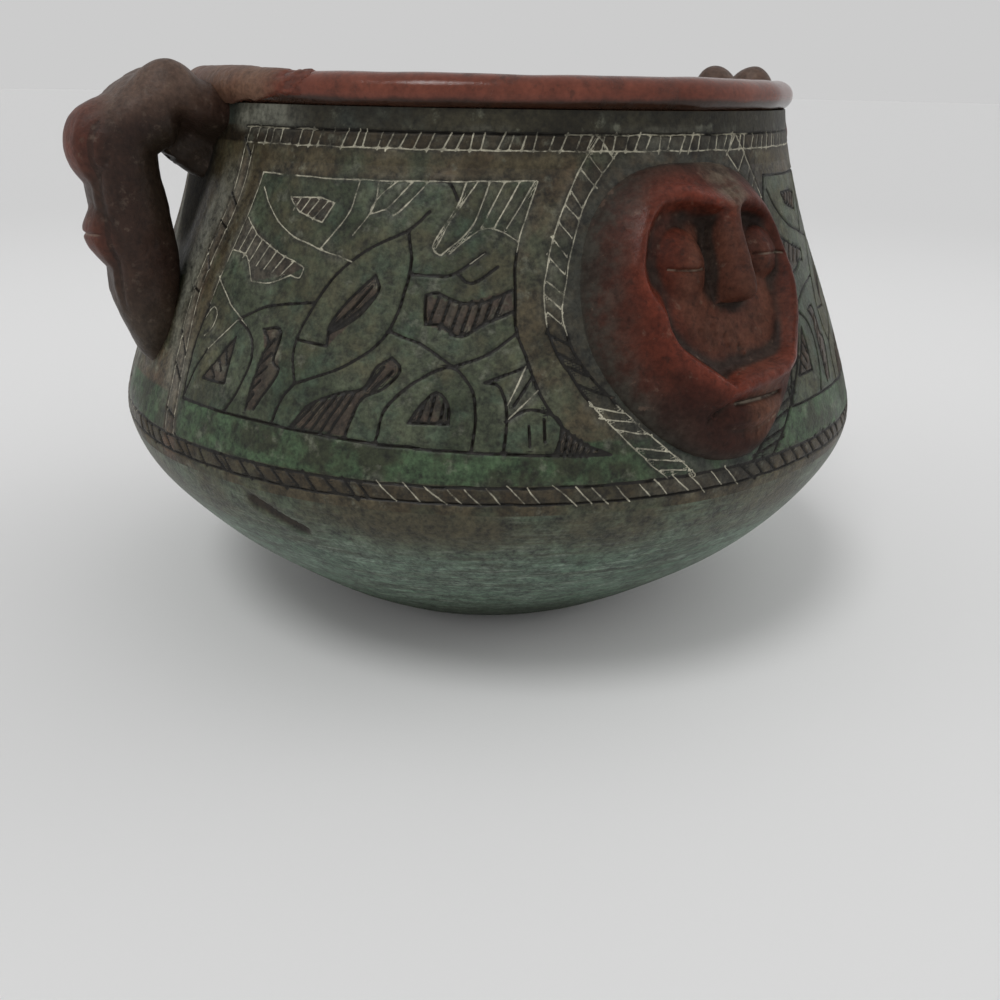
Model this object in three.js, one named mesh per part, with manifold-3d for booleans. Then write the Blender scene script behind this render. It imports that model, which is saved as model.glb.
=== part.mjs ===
// A hand-built clay vessel with two figure handles and two face masks.
// Millimetres, +Z up, origin at the middle of the flat base, front mask towards -Y, handles on +X and -X.

import * as THREE from 'three';
import { mergeVertices } from 'three/addons/utils/BufferGeometryUtils.js';
import Module from 'manifold-3d';

const wasm = await Module();
wasm.setup();

// Body
const BASE_RADIUS = 46;
const SHOULDER_RADIUS = 110;
const SHOULDER_HEIGHT = 62;
const NECK_RADIUS = 82.7;
const NECK_HEIGHT = 143;
const COLLAR_DEPTH = 12;
const WALL = 7;
const RIM_WIDTH = 9;
const RIM_THICKNESS = 7.6;
const RIM_SEAT_ANGLE = THREE.MathUtils.degToRad(60);

// How far the side curves run straight out of their ends before they bend
const FOOT_SPREAD = 20;
const FOOT_RISE = 8;
const SHOULDER_ROUND_BELOW = 20;
const SHOULDER_ROUND_ABOVE = 14;
const NECK_SPREAD = 4.3;
const NECK_RUN = 31;

// The skin of slip between two luted pieces
const SLIP_JOINT = 0.3;

// Handles: a bent strap with a face, two top knobs and two arms along the rim
const LOOP_GAP = 11;
const STRAP_THICKNESS = 16;
const STRAP_WIDTH = 22;
const KNOB_WIDTH = 15.8;
const KNOB_DEPTH = 12;
const KNOB_HEIGHT = 15;
const KNOB_STAND_OFF = 12.8;
const LEFT_KNOB_RISE = 6.2;
const RIGHT_KNOB_RISE = 9.5;
const BROW_LUMP_PLACE = 0.89;
const BROW_LUMP_WIDTH = 17;
const BROW_LUMP_HEIGHT = 18;
const BROW_LUMP_PROUD = 5.4;
const LIP_LUMP_PLACE = 0.622;
const LIP_LUMP_WIDTH = 14;
const LIP_LUMP_HEIGHT = 11;
const LIP_LUMP_PROUD = 4.6;
const ARM_LENGTH = 32;
const ARM_WIDTH = 11;
const ARM_RISE = 2.4;
const ARM_SLOPE = THREE.MathUtils.degToRad(40);
const ARM_THINNING = 0.6;

// Masks: a domed pad on the wall, hollowed in front, with features laid on it
const MASK_PLACE = 0.469;
const MASK_HALF_WIDTH = 33;
const MASK_HALF_HEIGHT = 32;
const MASK_RISE = 8.8;
const MASK_FLATNESS = 2.6;
const MASK_ROUNDNESS = 0.6;
const MASK_FULLNESS = 2.8;
const MASK_TAPER_LEFT = 0.14;
const MASK_TAPER_RIGHT = 0.4;
const MASK_TAPER_FROM = 5;
const FACE_HALF_WIDTH = 23;
const FACE_HALF_HEIGHT = 20.3;
const FACE_ASIDE = 2;
const FACE_CENTRE = 6.2;
const FACE_HOLLOW = 4.8;
const FACE_FLOOR = 0.6;
const RIDGE_WIDTH = 7;
const RIDGE_RISE = 3.2;
const RIDGE_END_RISE = 1.3;
const RIDGE_OUTSIDE = 2.3;
const TEMPLE_RISE = 3;
const BROW_DROP = 1.2;
const POINT_ASIDE = -4.7;
const NOSE_ASIDE = 4.3;
const NOSE_LENGTH = 19;
const NOSE_TOP_WIDTH = 6;
const NOSE_TIP_WIDTH = 8.5;
const NOSE_RISE = 8.5;
const NOSE_BRIDGE_RISE = 4.2;
const EYE_WIDTH = 13.5;
const EYE_HEIGHT = 15.5;
const EYE_RISE = 2.5;
const EYE_SPACING = 29.8;
const EYE_UP = 5.5;
const EYE_SLIT_LENGTH = 10.8;
const CHIN_ASIDE = 1.5;
const CHIN_WIDTH = 24;
const CHIN_HEIGHT = 8;
const CHIN_RISE = 1.8;
const MOUTH_DROP = 3;
const MOUTH_LENGTH = 14;
const SLIT_WIDTH = 1;
const SLIT_DEPTH = 1.6;

// Main incised lines of the painted fields
const LINE_WIDTH = 1.2;
const LINE_DEPTH = 0.9;

// How square the ends of the coils are, from round at 2 upwards
const STRAP_BLUNTNESS = 12;
const ARM_BLUNTNESS = 6;
const RIDGE_BLUNTNESS = 8;
const LINE_BLUNTNESS = 20;
const NOSE_BLUNTNESS = 7;

// Facets
const TURNS = 48;
const CURVE_STEPS = 5;
const LUMP_FACETS = 10;
const STRAP_FACETS = [12, 18];
const ARM_FACETS = [10, 8];
const RIDGE_FACETS = [8, 11];
const NOSE_FACETS = [8, 8];
const DOME_FACETS = [28, 11];
const LINE_FACETS = [4, 6];

const clay = {
  green: new THREE.MeshStandardMaterial({ color: 0x46584a, roughness: 0.6, metalness: 0 }),
  teal: new THREE.MeshStandardMaterial({ color: 0x4b6a5f, roughness: 0.55, metalness: 0 }),
  neck: new THREE.MeshStandardMaterial({ color: 0x2c3733, roughness: 0.55, metalness: 0 }),
  red: new THREE.MeshStandardMaterial({ color: 0x6b2f26, roughness: 0.4, metalness: 0 }),
  maroon: new THREE.MeshStandardMaterial({ color: 0x552a25, roughness: 0.42, metalness: 0 }),
  brown: new THREE.MeshStandardMaterial({ color: 0x4a302a, roughness: 0.5, metalness: 0 }),
};

// Solids

// Turns the faces round if the closed surface is inside out.
function facingOut(geometry) {
  const position = geometry.attributes.position;
  const index = geometry.index.array;
  const [a, b, c] = [new THREE.Vector3(), new THREE.Vector3(), new THREE.Vector3()];
  let volume = 0;
  for (let i = 0; i < index.length; i += 3) {
    a.fromBufferAttribute(position, index[i]);
    b.fromBufferAttribute(position, index[i + 1]);
    c.fromBufferAttribute(position, index[i + 2]);
    volume += a.dot(b.cross(c));
  }
  if (volume < 0) {
    for (let i = 0; i < index.length; i += 3) {
      [index[i], index[i + 1]] = [index[i + 1], index[i]];
    }
  }
  return geometry;
}

// Merges shared corners and drops the triangles that collapse at poles and on the axis.
function closed(geometry) {
  geometry.deleteAttribute('normal');
  geometry.deleteAttribute('uv');
  const merged = mergeVertices(geometry, 1e-4);
  const index = merged.index.array;
  const kept = [];
  for (let i = 0; i < index.length; i += 3) {
    const [a, b, c] = [index[i], index[i + 1], index[i + 2]];
    if (a !== b && b !== c && c !== a) kept.push(a, b, c);
  }
  merged.setIndex(kept);
  return facingOut(merged);
}

function toSolid(geometry) {
  return new wasm.Manifold(new wasm.Mesh({
    numProp: 3,
    vertProperties: new Float32Array(geometry.attributes.position.array),
    triVerts: new Uint32Array(geometry.index.array),
  }));
}

// What is left of a lump of clay once everything it is pressed against is taken off.
function cutBy(geometry, ...cutters) {
  let solid = toSolid(geometry);
  for (const cutter of cutters) {
    solid = solid.subtract(toSolid(cutter));
  }
  const mesh = solid.getMesh();
  const cut = new THREE.BufferGeometry();
  cut.setAttribute('position', new THREE.BufferAttribute(new Float32Array(mesh.vertProperties), 3));
  cut.setIndex(new THREE.BufferAttribute(new Uint32Array(mesh.triVerts), 1));
  return cut;
}

// Body profiles, as (radius, height)

const bowlCurve = new THREE.CubicBezierCurve(
  new THREE.Vector2(BASE_RADIUS, 0),
  new THREE.Vector2(BASE_RADIUS + FOOT_SPREAD, FOOT_RISE),
  new THREE.Vector2(SHOULDER_RADIUS, SHOULDER_HEIGHT - SHOULDER_ROUND_BELOW),
  new THREE.Vector2(SHOULDER_RADIUS, SHOULDER_HEIGHT),
);

const wallCurve = new THREE.CubicBezierCurve(
  new THREE.Vector2(SHOULDER_RADIUS, SHOULDER_HEIGHT),
  new THREE.Vector2(SHOULDER_RADIUS, SHOULDER_HEIGHT + SHOULDER_ROUND_ABOVE),
  new THREE.Vector2(NECK_RADIUS + NECK_SPREAD, NECK_HEIGHT - NECK_RUN),
  new THREE.Vector2(NECK_RADIUS, NECK_HEIGHT),
);

// The place along a rising curve where it reaches a height.
function placeAtHeight(curve, height) {
  let low = 0;
  let high = 1;
  for (let halving = 0; halving < 40; halving += 1) {
    const middle = (low + high) / 2;
    if (curve.getPoint(middle).y < height) low = middle;
    else high = middle;
  }
  return (low + high) / 2;
}

function outerRadius(height) {
  const curve = height < SHOULDER_HEIGHT ? bowlCurve : wallCurve;
  return curve.getPoint(placeAtHeight(curve, height)).x;
}

// A height as a share of the way from the shoulder to the neck
const wallRun = NECK_HEIGHT - SHOULDER_HEIGHT;

function heightUpWall(share) {
  return SHOULDER_HEIGHT + share * wallRun;
}

// The points of one stretch of a curve, moved out along its normal by an offset.
function stretch(curve, from, to, offset) {
  const points = [];
  for (let step = 0; step <= CURVE_STEPS; step += 1) {
    const place = from + (to - from) * step / CURVE_STEPS;
    const tangent = curve.getTangent(place);
    const normal = new THREE.Vector2(tangent.y, -tangent.x);
    points.push(curve.getPoint(place).addScaledVector(normal, offset));
  }
  return points;
}

// Inner corners of the seams between the body's sections
const footSlope = new THREE.Vector2(-FOOT_RISE, FOOT_SPREAD).normalize();
const baseInside = new THREE.Vector2(BASE_RADIUS, 0).addScaledVector(footSlope, WALL);
const shoulderInside = new THREE.Vector2(SHOULDER_RADIUS - WALL, SHOULDER_HEIGHT);
const neckInside = new THREE.Vector2(NECK_RADIUS - WALL, NECK_HEIGHT);
const collarPlace = placeAtHeight(wallCurve, NECK_HEIGHT - COLLAR_DEPTH);
const collarInside = stretch(wallCurve, collarPlace, 1, -WALL)[0];

// The rim is a rolled coil: an oval section, flattened where it sits on the neck.
const rimHalfWidth = RIM_WIDTH / 2;
const rimHalfThickness = RIM_THICKNESS / 2;
const rimCentre = new THREE.Vector2(
  NECK_RADIUS - WALL / 2 + (RIM_WIDTH - WALL) / 4,
  NECK_HEIGHT + rimHalfThickness * Math.sin(RIM_SEAT_ANGLE),
);

function rimPoint(angle, grow) {
  return new THREE.Vector2(
    rimCentre.x + (rimHalfWidth + grow) * Math.cos(angle),
    rimCentre.y + (rimHalfThickness + grow) * Math.sin(angle),
  );
}

function rimArc(from, to, grow) {
  const points = [];
  const steps = 2 * CURVE_STEPS;
  for (let step = 0; step <= steps; step += 1) {
    points.push(rimPoint(from + (to - from) * step / steps, grow));
  }
  return points;
}

function turned(points) {
  return closed(new THREE.LatheGeometry(points, TURNS).rotateX(Math.PI / 2));
}

// A section of the wall between two seams, given by their inner corners
function section(curve, from, to, seamBelow, seamAbove) {
  const outside = stretch(curve, from, to, 0);
  const inside = stretch(curve, from, to, -WALL).slice(1, -1).reverse();
  return turned([...outside, seamAbove, ...inside, seamBelow, outside[0]]);
}

// The whole body filled in, used to fit the clay that is pressed on to it from outside.
function filledBody(grow) {
  const outside = [
    ...stretch(bowlCurve, 0, 1, grow),
    ...stretch(wallCurve, 0, 1, grow).slice(1),
    ...rimArc(-RIM_SEAT_ANGLE, Math.PI / 2, grow),
  ];
  const bottom = new THREE.Vector2(0, outside[0].y);
  const top = new THREE.Vector2(0, outside[outside.length - 1].y);
  return turned([bottom, ...outside, top]);
}

const bodyInTheWay = filledBody(SLIP_JOINT);

// Coils and pads of clay

// A rolled coil along a path. frameAt gives, for a place from 0 to 1, the path's centre and its two
// directions across and up, with the coil's half width and its reach up and down.
function coil(frameAt, [around, along]) {
  const geometry = new THREE.SphereGeometry(1, around, along);
  const position = geometry.attributes.position;
  const uv = geometry.attributes.uv;
  const point = new THREE.Vector3();
  for (let i = 0; i < position.count; i += 1) {
    const place = 1 - uv.getY(i);
    const ring = Math.hypot(position.getX(i), position.getZ(i));
    const across = ring > 1e-6 ? position.getX(i) / ring : 0;
    const up = ring > 1e-6 ? position.getZ(i) / ring : 0;
    const frame = frameAt(place);
    const blunt = ring > 1e-6 ? Math.sqrt(1 - Math.abs(2 * place - 1) ** frame.bluntness) : 0;
    const reach = up > 0 ? frame.rise : frame.sink;
    point.copy(frame.centre);
    point.addScaledVector(frame.across, across * frame.halfWidth * blunt);
    point.addScaledVector(frame.up, up * reach * blunt);
    position.setXYZ(i, point.x, point.y, point.z);
  }
  return geometry;
}

// Moves every corner of a closed shape by a rule.
function bent(geometry, rule) {
  const position = geometry.attributes.position;
  for (let i = 0; i < position.count; i += 1) {
    const point = rule(position.getX(i), position.getY(i), position.getZ(i));
    position.setXYZ(i, point.x, point.y, point.z);
  }
  return closed(geometry);
}

function ball(width, depth, height) {
  const geometry = new THREE.SphereGeometry(0.5, LUMP_FACETS, LUMP_FACETS * 2 / 3);
  return geometry.rotateX(Math.PI / 2).scale(width, depth, height);
}

// Handle, built on +X and turned to its side

// The strap's line: place up the wall, stand-off from it, and shares of the full thickness and width.
// It leaves the neck level, turns down round the loop and closes on the wall below it.
const fullStandOff = LOOP_GAP + STRAP_THICKNESS / 2;
const strapStations = [
  { up: 1, off: 0.07, thick: 0.75, wide: 1.27 },
  { up: 1, off: 0.49, thick: 0.81, wide: 1.36 },
  { up: 0.97, off: 0.87, thick: 1, wide: 1.23 },
  { up: 0.89, off: 1.11, thick: 0.95, wide: 1.09 },
  { up: 0.78, off: 1.04, thick: 0.98, wide: 1 },
  { up: 0.667, off: 0.82, thick: 1, wide: 0.95 },
  { up: 0.543, off: 0.57, thick: 1, wide: 0.86 },
  { up: 0.42, off: 0.36, thick: 0.88, wide: 0.73 },
  { up: 0.32, off: 0.1, thick: 0.68, wide: 0.59 },
  { up: 0.26, off: -0.09, thick: 0.57, wide: 0.41 },
  { up: 0.2, off: -0.27, thick: 0.3, wide: 0.25 },
];

const strapLine = new THREE.CatmullRomCurve3(strapStations.map(({ up, off }) => {
  const height = heightUpWall(up);
  return new THREE.Vector3(outerRadius(height) + off * fullStandOff, 0, height);
}));
const strapSize = new THREE.CatmullRomCurve3(strapStations.map(({ thick, wide }) => (
  new THREE.Vector3(thick * STRAP_THICKNESS / 2, wide * STRAP_WIDTH / 2, 0)
)));

function strap(grow) {
  return closed(coil((place) => {
    const tangent = strapLine.getTangent(place);
    const size = strapSize.getPoint(place);
    return {
      centre: strapLine.getPoint(place),
      across: new THREE.Vector3(0, 1, 0),
      up: new THREE.Vector3(tangent.z, 0, -tangent.x),
      halfWidth: size.y + grow,
      rise: size.x + grow,
      sink: size.x + grow,
      bluntness: STRAP_BLUNTNESS,
    };
  }, STRAP_FACETS));
}

// The strap's outer face at a height
function strapFace(share) {
  const height = heightUpWall(share);
  let face = 0;
  for (let step = 0; step <= 200; step += 1) {
    const centre = strapLine.getPoint(step / 200);
    const tangent = strapLine.getTangent(step / 200);
    const reach = strapSize.getPoint(step / 200).x;
    const isNear = Math.abs(centre.z + tangent.x * reach - height) < wallRun / 100;
    if (isNear) face = Math.max(face, centre.x - tangent.z * reach);
  }
  return face;
}

function slit(length, reach) {
  return closed(new THREE.BoxGeometry(reach, length, SLIT_WIDTH));
}

function knob(side, rise, grow) {
  const offset = side * (KNOB_WIDTH / 2 + SLIP_JOINT);
  const centre = rimCentre.y + rise - KNOB_HEIGHT / 2;
  const geometry = ball(KNOB_DEPTH + 2 * grow, KNOB_WIDTH + 2 * grow, KNOB_HEIGHT + 2 * grow);
  return closed(geometry.translate(NECK_RADIUS + KNOB_STAND_OFF, offset, centre));
}

// A lump on the strap's outer face, rooted inside the strap's thickness
function faceLump(share, width, height, proud) {
  const root = STRAP_THICKNESS / 4;
  const centre = strapFace(share) - root;
  return bent(ball(2, width, height), (x, y, z) => (
    new THREE.Vector3(centre + x * (x > 0 ? proud + root : root), y, z + heightUpWall(share))
  ));
}

// An arm runs from the strap round the rim, thinning towards its end.
function arm(side) {
  const along = ARM_LENGTH / rimCentre.x;
  const start = STRAP_WIDTH / 4 / rimCentre.x;
  return closed(coil((place) => {
    const turn = side * (start + place * along);
    const seat = rimPoint(ARM_SLOPE, 0);
    const outward = new THREE.Vector3(Math.cos(turn), Math.sin(turn), 0);
    const top = new THREE.Vector3(0, 0, 1);
    const up = outward.clone().multiplyScalar(Math.cos(ARM_SLOPE));
    up.addScaledVector(top, Math.sin(ARM_SLOPE));
    const across = outward.clone().multiplyScalar(-Math.sin(ARM_SLOPE));
    across.addScaledVector(top, Math.cos(ARM_SLOPE));
    const thinned = ARM_THINNING * place;
    return {
      centre: outward.clone().multiplyScalar(seat.x).addScaledVector(top, seat.y),
      across,
      up,
      halfWidth: ARM_WIDTH / 2 * (1 - thinned),
      rise: ARM_RISE * (1 - thinned / 2),
      sink: rimHalfThickness,
      bluntness: ARM_BLUNTNESS,
    };
  }, ARM_FACETS));
}

function handle(name, turn, knobRise) {
  const group = new THREE.Group();
  const strapInTheWay = strap(SLIP_JOINT);
  const add = (part, geometry) => {
    const mesh = new THREE.Mesh(geometry, clay.brown);
    mesh.name = `handle_${name}_${part}`;
    group.add(mesh);
  };
  const ends = turn === 0 ? ['front', 'back'] : ['back', 'front'];
  add('strap', cutBy(strap(0), bodyInTheWay));
  [-1, 1].forEach((side, i) => {
    const knobInTheWay = knob(side, knobRise, SLIP_JOINT);
    add(`knob_${ends[i]}`, cutBy(knob(side, knobRise, 0), strapInTheWay, bodyInTheWay));
    add(`arm_${ends[i]}`, cutBy(arm(side), strapInTheWay, bodyInTheWay, knobInTheWay));
  });
  add('brow', cutBy(
    faceLump(BROW_LUMP_PLACE, BROW_LUMP_WIDTH, BROW_LUMP_HEIGHT, BROW_LUMP_PROUD),
    strapInTheWay,
  ));
  const lipFace = strapFace(LIP_LUMP_PLACE) + LIP_LUMP_PROUD;
  const lipSlit = slit(LIP_LUMP_WIDTH, 2 * SLIT_DEPTH);
  lipSlit.translate(lipFace, 0, heightUpWall(LIP_LUMP_PLACE));
  add('lips', cutBy(
    faceLump(LIP_LUMP_PLACE, LIP_LUMP_WIDTH, LIP_LUMP_HEIGHT, LIP_LUMP_PROUD),
    strapInTheWay,
    lipSlit,
  ));
  group.rotation.z = turn;
  return group;
}

// Mask, built on -Y and turned to its side. Its own grid is (across, up, out) from the mask's middle.

const maskHeight = heightUpWall(MASK_PLACE);

function onMask(across, up, out) {
  const height = maskHeight + up;
  const radius = outerRadius(height);
  const turn = across / outerRadius(maskHeight);
  return new THREE.Vector3(radius * Math.sin(turn), -radius * Math.cos(turn) - out, height);
}

// The dome narrows downwards, more on its right.
function maskHalfWidth(across, up) {
  const taper = across < 0 ? MASK_TAPER_LEFT : MASK_TAPER_RIGHT;
  return MASK_HALF_WIDTH * (1 - taper * THREE.MathUtils.smoothstep(-up, -MASK_TAPER_FROM, MASK_HALF_HEIGHT));
}

// The dome's outline is fuller above its middle than the oval below it.
function outlineShare(x, y) {
  const fullness = y > 0 ? MASK_FULLNESS : 2;
  return (Math.abs(x) ** fullness + Math.abs(y) ** fullness) ** (1 / fullness);
}

// How far the dome stands out of the wall: a loaf shape with the face hollowed out of its front.
function domeRise(across, up) {
  const share = outlineShare(across / maskHalfWidth(across, up), up / MASK_HALF_HEIGHT);
  const loaf = MASK_RISE * Math.max(0, 1 - share ** MASK_FLATNESS) ** MASK_ROUNDNESS;
  const face = Math.hypot((across - FACE_ASIDE) / FACE_HALF_WIDTH, (up - FACE_CENTRE) / FACE_HALF_HEIGHT);
  return loaf - FACE_HOLLOW * (1 - THREE.MathUtils.smoothstep(face, FACE_FLOOR, 1));
}

function dome(grow) {
  const topShare = 0.82;
  const geometry = new THREE.SphereGeometry(1, ...DOME_FACETS).rotateX(Math.PI / 2);
  const position = geometry.attributes.position;
  const uv = geometry.attributes.uv;
  for (let i = 0; i < position.count; i += 1) {
    const place = 1 - uv.getY(i);
    const isTop = place <= topShare;
    const share = isTop ? place / topShare : (1 - place) / (1 - topShare);
    const angle = Math.atan2(position.getY(i), position.getX(i));
    const reach = share / outlineShare(Math.cos(angle), Math.sin(angle));
    const up = reach * (MASK_HALF_HEIGHT + grow) * Math.sin(angle);
    const across = reach * (maskHalfWidth(Math.cos(angle), up) + grow) * Math.cos(angle);
    const out = isTop ? domeRise(across, up) + grow : -WALL;
    const point = onMask(across, up, out);
    position.setXYZ(i, point.x, point.y, point.z);
  }
  return closed(geometry);
}

// A coil laid on the dome along a line of (across, up) points, sinking towards its end
function ridge(points, endRise, grow) {
  const line = new THREE.SplineCurve(points.map(([across, up]) => new THREE.Vector2(across, up)));
  return closed(coil((place) => {
    const centre = line.getPointAt(place);
    const tangent = line.getTangentAt(place);
    const side = centre.clone().add(new THREE.Vector2(tangent.y, -tangent.x));
    const out = domeRise(centre.x, centre.y);
    const here = onMask(centre.x, centre.y, out);
    return {
      centre: here,
      across: onMask(side.x, side.y, out).sub(here).normalize(),
      up: new THREE.Vector3(0, -1, 0),
      halfWidth: RIDGE_WIDTH / 2 + grow,
      rise: THREE.MathUtils.lerp(RIDGE_RISE, endRise, place) + grow,
      sink: RIDGE_RISE,
      bluntness: RIDGE_BLUNTNESS,
    };
  }, RIDGE_FACETS));
}

// A pad pressed on to the dome at (across, up)
function pad(across, up, width, height, rise, grow) {
  const geometry = ball(2, 2, 2);
  const sink = FACE_HOLLOW;
  return bent(geometry, (x, y, z) => {
    const placeAcross = across + x * (width / 2 + grow);
    const placeUp = up + y * (height / 2 + grow);
    const out = domeRise(across, up) + z * (z > 0 ? rise + grow : sink);
    return onMask(placeAcross, placeUp, out);
  });
}

const noseTop = FACE_CENTRE + FACE_HALF_HEIGHT - RIDGE_WIDTH / 2;

// The nose widens and stands further out towards its tip.
function nose(grow) {
  return closed(coil((place) => {
    const up = noseTop - place * NOSE_LENGTH;
    const tip = THREE.MathUtils.smoothstep(place, 0, 0.9);
    const out = domeRise(NOSE_ASIDE, up);
    return {
      centre: onMask(NOSE_ASIDE, up, out),
      across: new THREE.Vector3(1, 0, 0),
      up: new THREE.Vector3(0, -1, 0),
      halfWidth: THREE.MathUtils.lerp(NOSE_TOP_WIDTH, NOSE_TIP_WIDTH, tip) / 2 + grow,
      rise: THREE.MathUtils.lerp(NOSE_BRIDGE_RISE, NOSE_RISE, tip) + grow,
      sink: FACE_HOLLOW,
      bluntness: NOSE_BLUNTNESS,
    };
  }, NOSE_FACETS));
}

// A slit pressed across a pad, level, as deep as a thumbnail goes
function padSlit(across, up, length, rise) {
  const tool = slit(length, 2 * SLIT_DEPTH).rotateZ(Math.PI / 2);
  const place = onMask(across, up, domeRise(across, up) + rise);
  return tool.translate(place.x, place.y, place.z);
}

const ridgeAcross = FACE_HALF_WIDTH + RIDGE_OUTSIDE;
const faceTop = FACE_CENTRE + FACE_HALF_HEIGHT;
const faceBottom = FACE_CENTRE - FACE_HALF_HEIGHT;
const templeUp = FACE_CENTRE + TEMPLE_RISE;
const ridgeEnd = RIDGE_WIDTH / 2;

// A point of the face, as a share of the way across to the ridge and a height
function onFace(share, up) {
  return [FACE_ASIDE + share * ridgeAcross, up];
}

// Brows arch from the nose to the temples.
const browLine = (side) => [
  [FACE_ASIDE + side * ridgeEnd, noseTop],
  onFace(side * 0.3, faceTop - BROW_DROP / 2),
  onFace(side * 0.65, faceTop - BROW_DROP),
  onFace(side * 0.93, (faceTop + templeUp) / 2),
  onFace(side, templeUp + SLIP_JOINT),
];

// Cheek ridges run on from the temples to a point over the mouth, the left one straight and the right
// one full. Each bend is a share of the way across and of the way up from the point to the temple.
const cheekBends = {
  left: [[-0.88, 0.68], [-0.75, 0.41], [-0.49, 0.18]],
  right: [[0.98, 0.88], [0.86, 0.62], [0.68, 0.34], [0.43, 0.15], [0.05, 0.07]],
};
const cheekLine = (side, sign) => [
  onFace(sign, templeUp - SLIP_JOINT),
  ...cheekBends[side].map(([across, up]) => onFace(across, faceBottom + up * (templeUp - faceBottom))),
  [POINT_ASIDE + sign * SLIP_JOINT, faceBottom],
];

function mask(name, turn) {
  const group = new THREE.Group();
  const add = (part, geometry, material) => {
    const mesh = new THREE.Mesh(geometry, material);
    mesh.name = `mask_${name}_${part}`;
    group.add(mesh);
  };
  const domeInTheWay = dome(SLIP_JOINT);
  const sides = [['left', -1], ['right', 1]];
  add('dome', cutBy(dome(0), bodyInTheWay), clay.maroon);
  const ridgesInTheWay = [];
  for (const [side, sign] of sides) {
    const brow = ridge(browLine(sign), RIDGE_RISE, 0);
    const cheek = ridge(cheekLine(side, sign), RIDGE_END_RISE, 0);
    add(`brow_${side}`, cutBy(brow, domeInTheWay), clay.red);
    add(`cheek_${side}`, cutBy(cheek, domeInTheWay), clay.red);
    ridgesInTheWay.push(ridge(browLine(sign), RIDGE_RISE, SLIP_JOINT));
    ridgesInTheWay.push(ridge(cheekLine(side, sign), RIDGE_END_RISE, SLIP_JOINT));
  }
  add('nose', cutBy(nose(0), domeInTheWay, ...ridgesInTheWay), clay.red);
  for (const [side, sign] of sides) {
    const across = NOSE_ASIDE + sign * EYE_SPACING / 2;
    const up = FACE_CENTRE + EYE_UP;
    const eye = pad(across, up, EYE_WIDTH, EYE_HEIGHT, EYE_RISE, 0);
    const eyeSlit = padSlit(across, up, EYE_SLIT_LENGTH, EYE_RISE);
    add(`eye_${side}`, cutBy(eye, domeInTheWay, nose(SLIP_JOINT), ...ridgesInTheWay, eyeSlit), clay.red);
  }
  const mouthUp = faceBottom - ridgeEnd;
  const chinUp = mouthUp - MOUTH_DROP;
  const chin = pad(CHIN_ASIDE, chinUp, CHIN_WIDTH, CHIN_HEIGHT, CHIN_RISE, 0);
  const chinSlit = padSlit(CHIN_ASIDE, mouthUp, MOUTH_LENGTH, CHIN_RISE);
  add('chin', cutBy(chin, domeInTheWay, ...ridgesInTheWay, chinSlit), clay.red);
  group.rotation.z = turn;
  return group;
}

// Incised ornament. A point is (degrees from the mask towards +X, height). The field beside the mask is
// repeated on each quarter of the wall.

const QUARTER = Math.PI / 2;
const fieldEdge = [
  [[-70.5, 128.3], [-48, 128], [-25.2, 128.6]],
  [[-25.2, 128.6], [-28.4, 114], [-28.6, 98.5], [-25.5, 84.5], [-17.5, 72.4]],
  [[-77.2, 75.5], [-49, 74.5], [-17.5, 72.4]],
  [[-70.5, 128.3], [-76.3, 97.5], [-77.2, 75.5]],
];
const leaf = [
  [[-40.7, 121.9], [-49.4, 113.5], [-57.6, 97.5], [-57.4, 84.6]],
  [[-43.5, 118], [-42.9, 110.3], [-45.2, 97.4], [-57.4, 84.6]],
];
const arches = [
  [[-69.8, 125], [-63, 115.8], [-51.7, 111]],
  [[-69.2, 95.9], [-65.3, 90.5], [-65.2, 86.1], [-67.9, 76]],
  [[-45.5, 75], [-41.3, 87.2], [-36.8, 90.6], [-33.5, 81.5], [-34, 73.8]],
  [[-45.2, 97.4], [-40.3, 94.7], [-36.8, 90.6], [-32.5, 93.1], [-28.8, 97.2]],
];

// The tool that cuts one line into the wall, with its point down
function lineTool(points, quarter) {
  const line = new THREE.SplineCurve(points.map(([turn, height]) => (
    new THREE.Vector2(THREE.MathUtils.degToRad(turn) + quarter * QUARTER, height)
  )));
  const top = new THREE.Vector3(0, 0, 1);
  return closed(coil((place) => {
    const { x: turn, y: height } = line.getPoint(place);
    const pace = line.getTangent(place);
    const radius = outerRadius(height);
    const slope = wallCurve.getTangent(placeAtHeight(wallCurve, height));
    const outward = new THREE.Vector3(Math.sin(turn), -Math.cos(turn), 0);
    const up = outward.clone().multiplyScalar(slope.y).addScaledVector(top, -slope.x);
    const rising = outward.clone().multiplyScalar(slope.x / slope.y).add(top);
    const along = new THREE.Vector3(Math.cos(turn), Math.sin(turn), 0).multiplyScalar(pace.x * radius);
    along.addScaledVector(rising, pace.y);
    return {
      centre: outward.clone().multiplyScalar(radius).addScaledVector(top, height),
      across: along.cross(up).normalize(),
      up,
      halfWidth: LINE_WIDTH / 2,
      rise: LINE_WIDTH,
      sink: LINE_DEPTH,
      bluntness: LINE_BLUNTNESS,
    };
  }, LINE_FACETS));
}

function incised(wall) {
  const tools = [];
  for (const quarter of [0, 1, 2, 3]) {
    for (const points of [...fieldEdge, ...leaf, ...arches]) {
      tools.push(lineTool(points, quarter));
    }
  }
  return cutBy(wall, ...tools);
}

// Assembly

const vessel = new THREE.Group();

function addBody(name, geometry, material) {
  const mesh = new THREE.Mesh(geometry, material);
  mesh.name = name;
  vessel.add(mesh);
}

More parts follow.
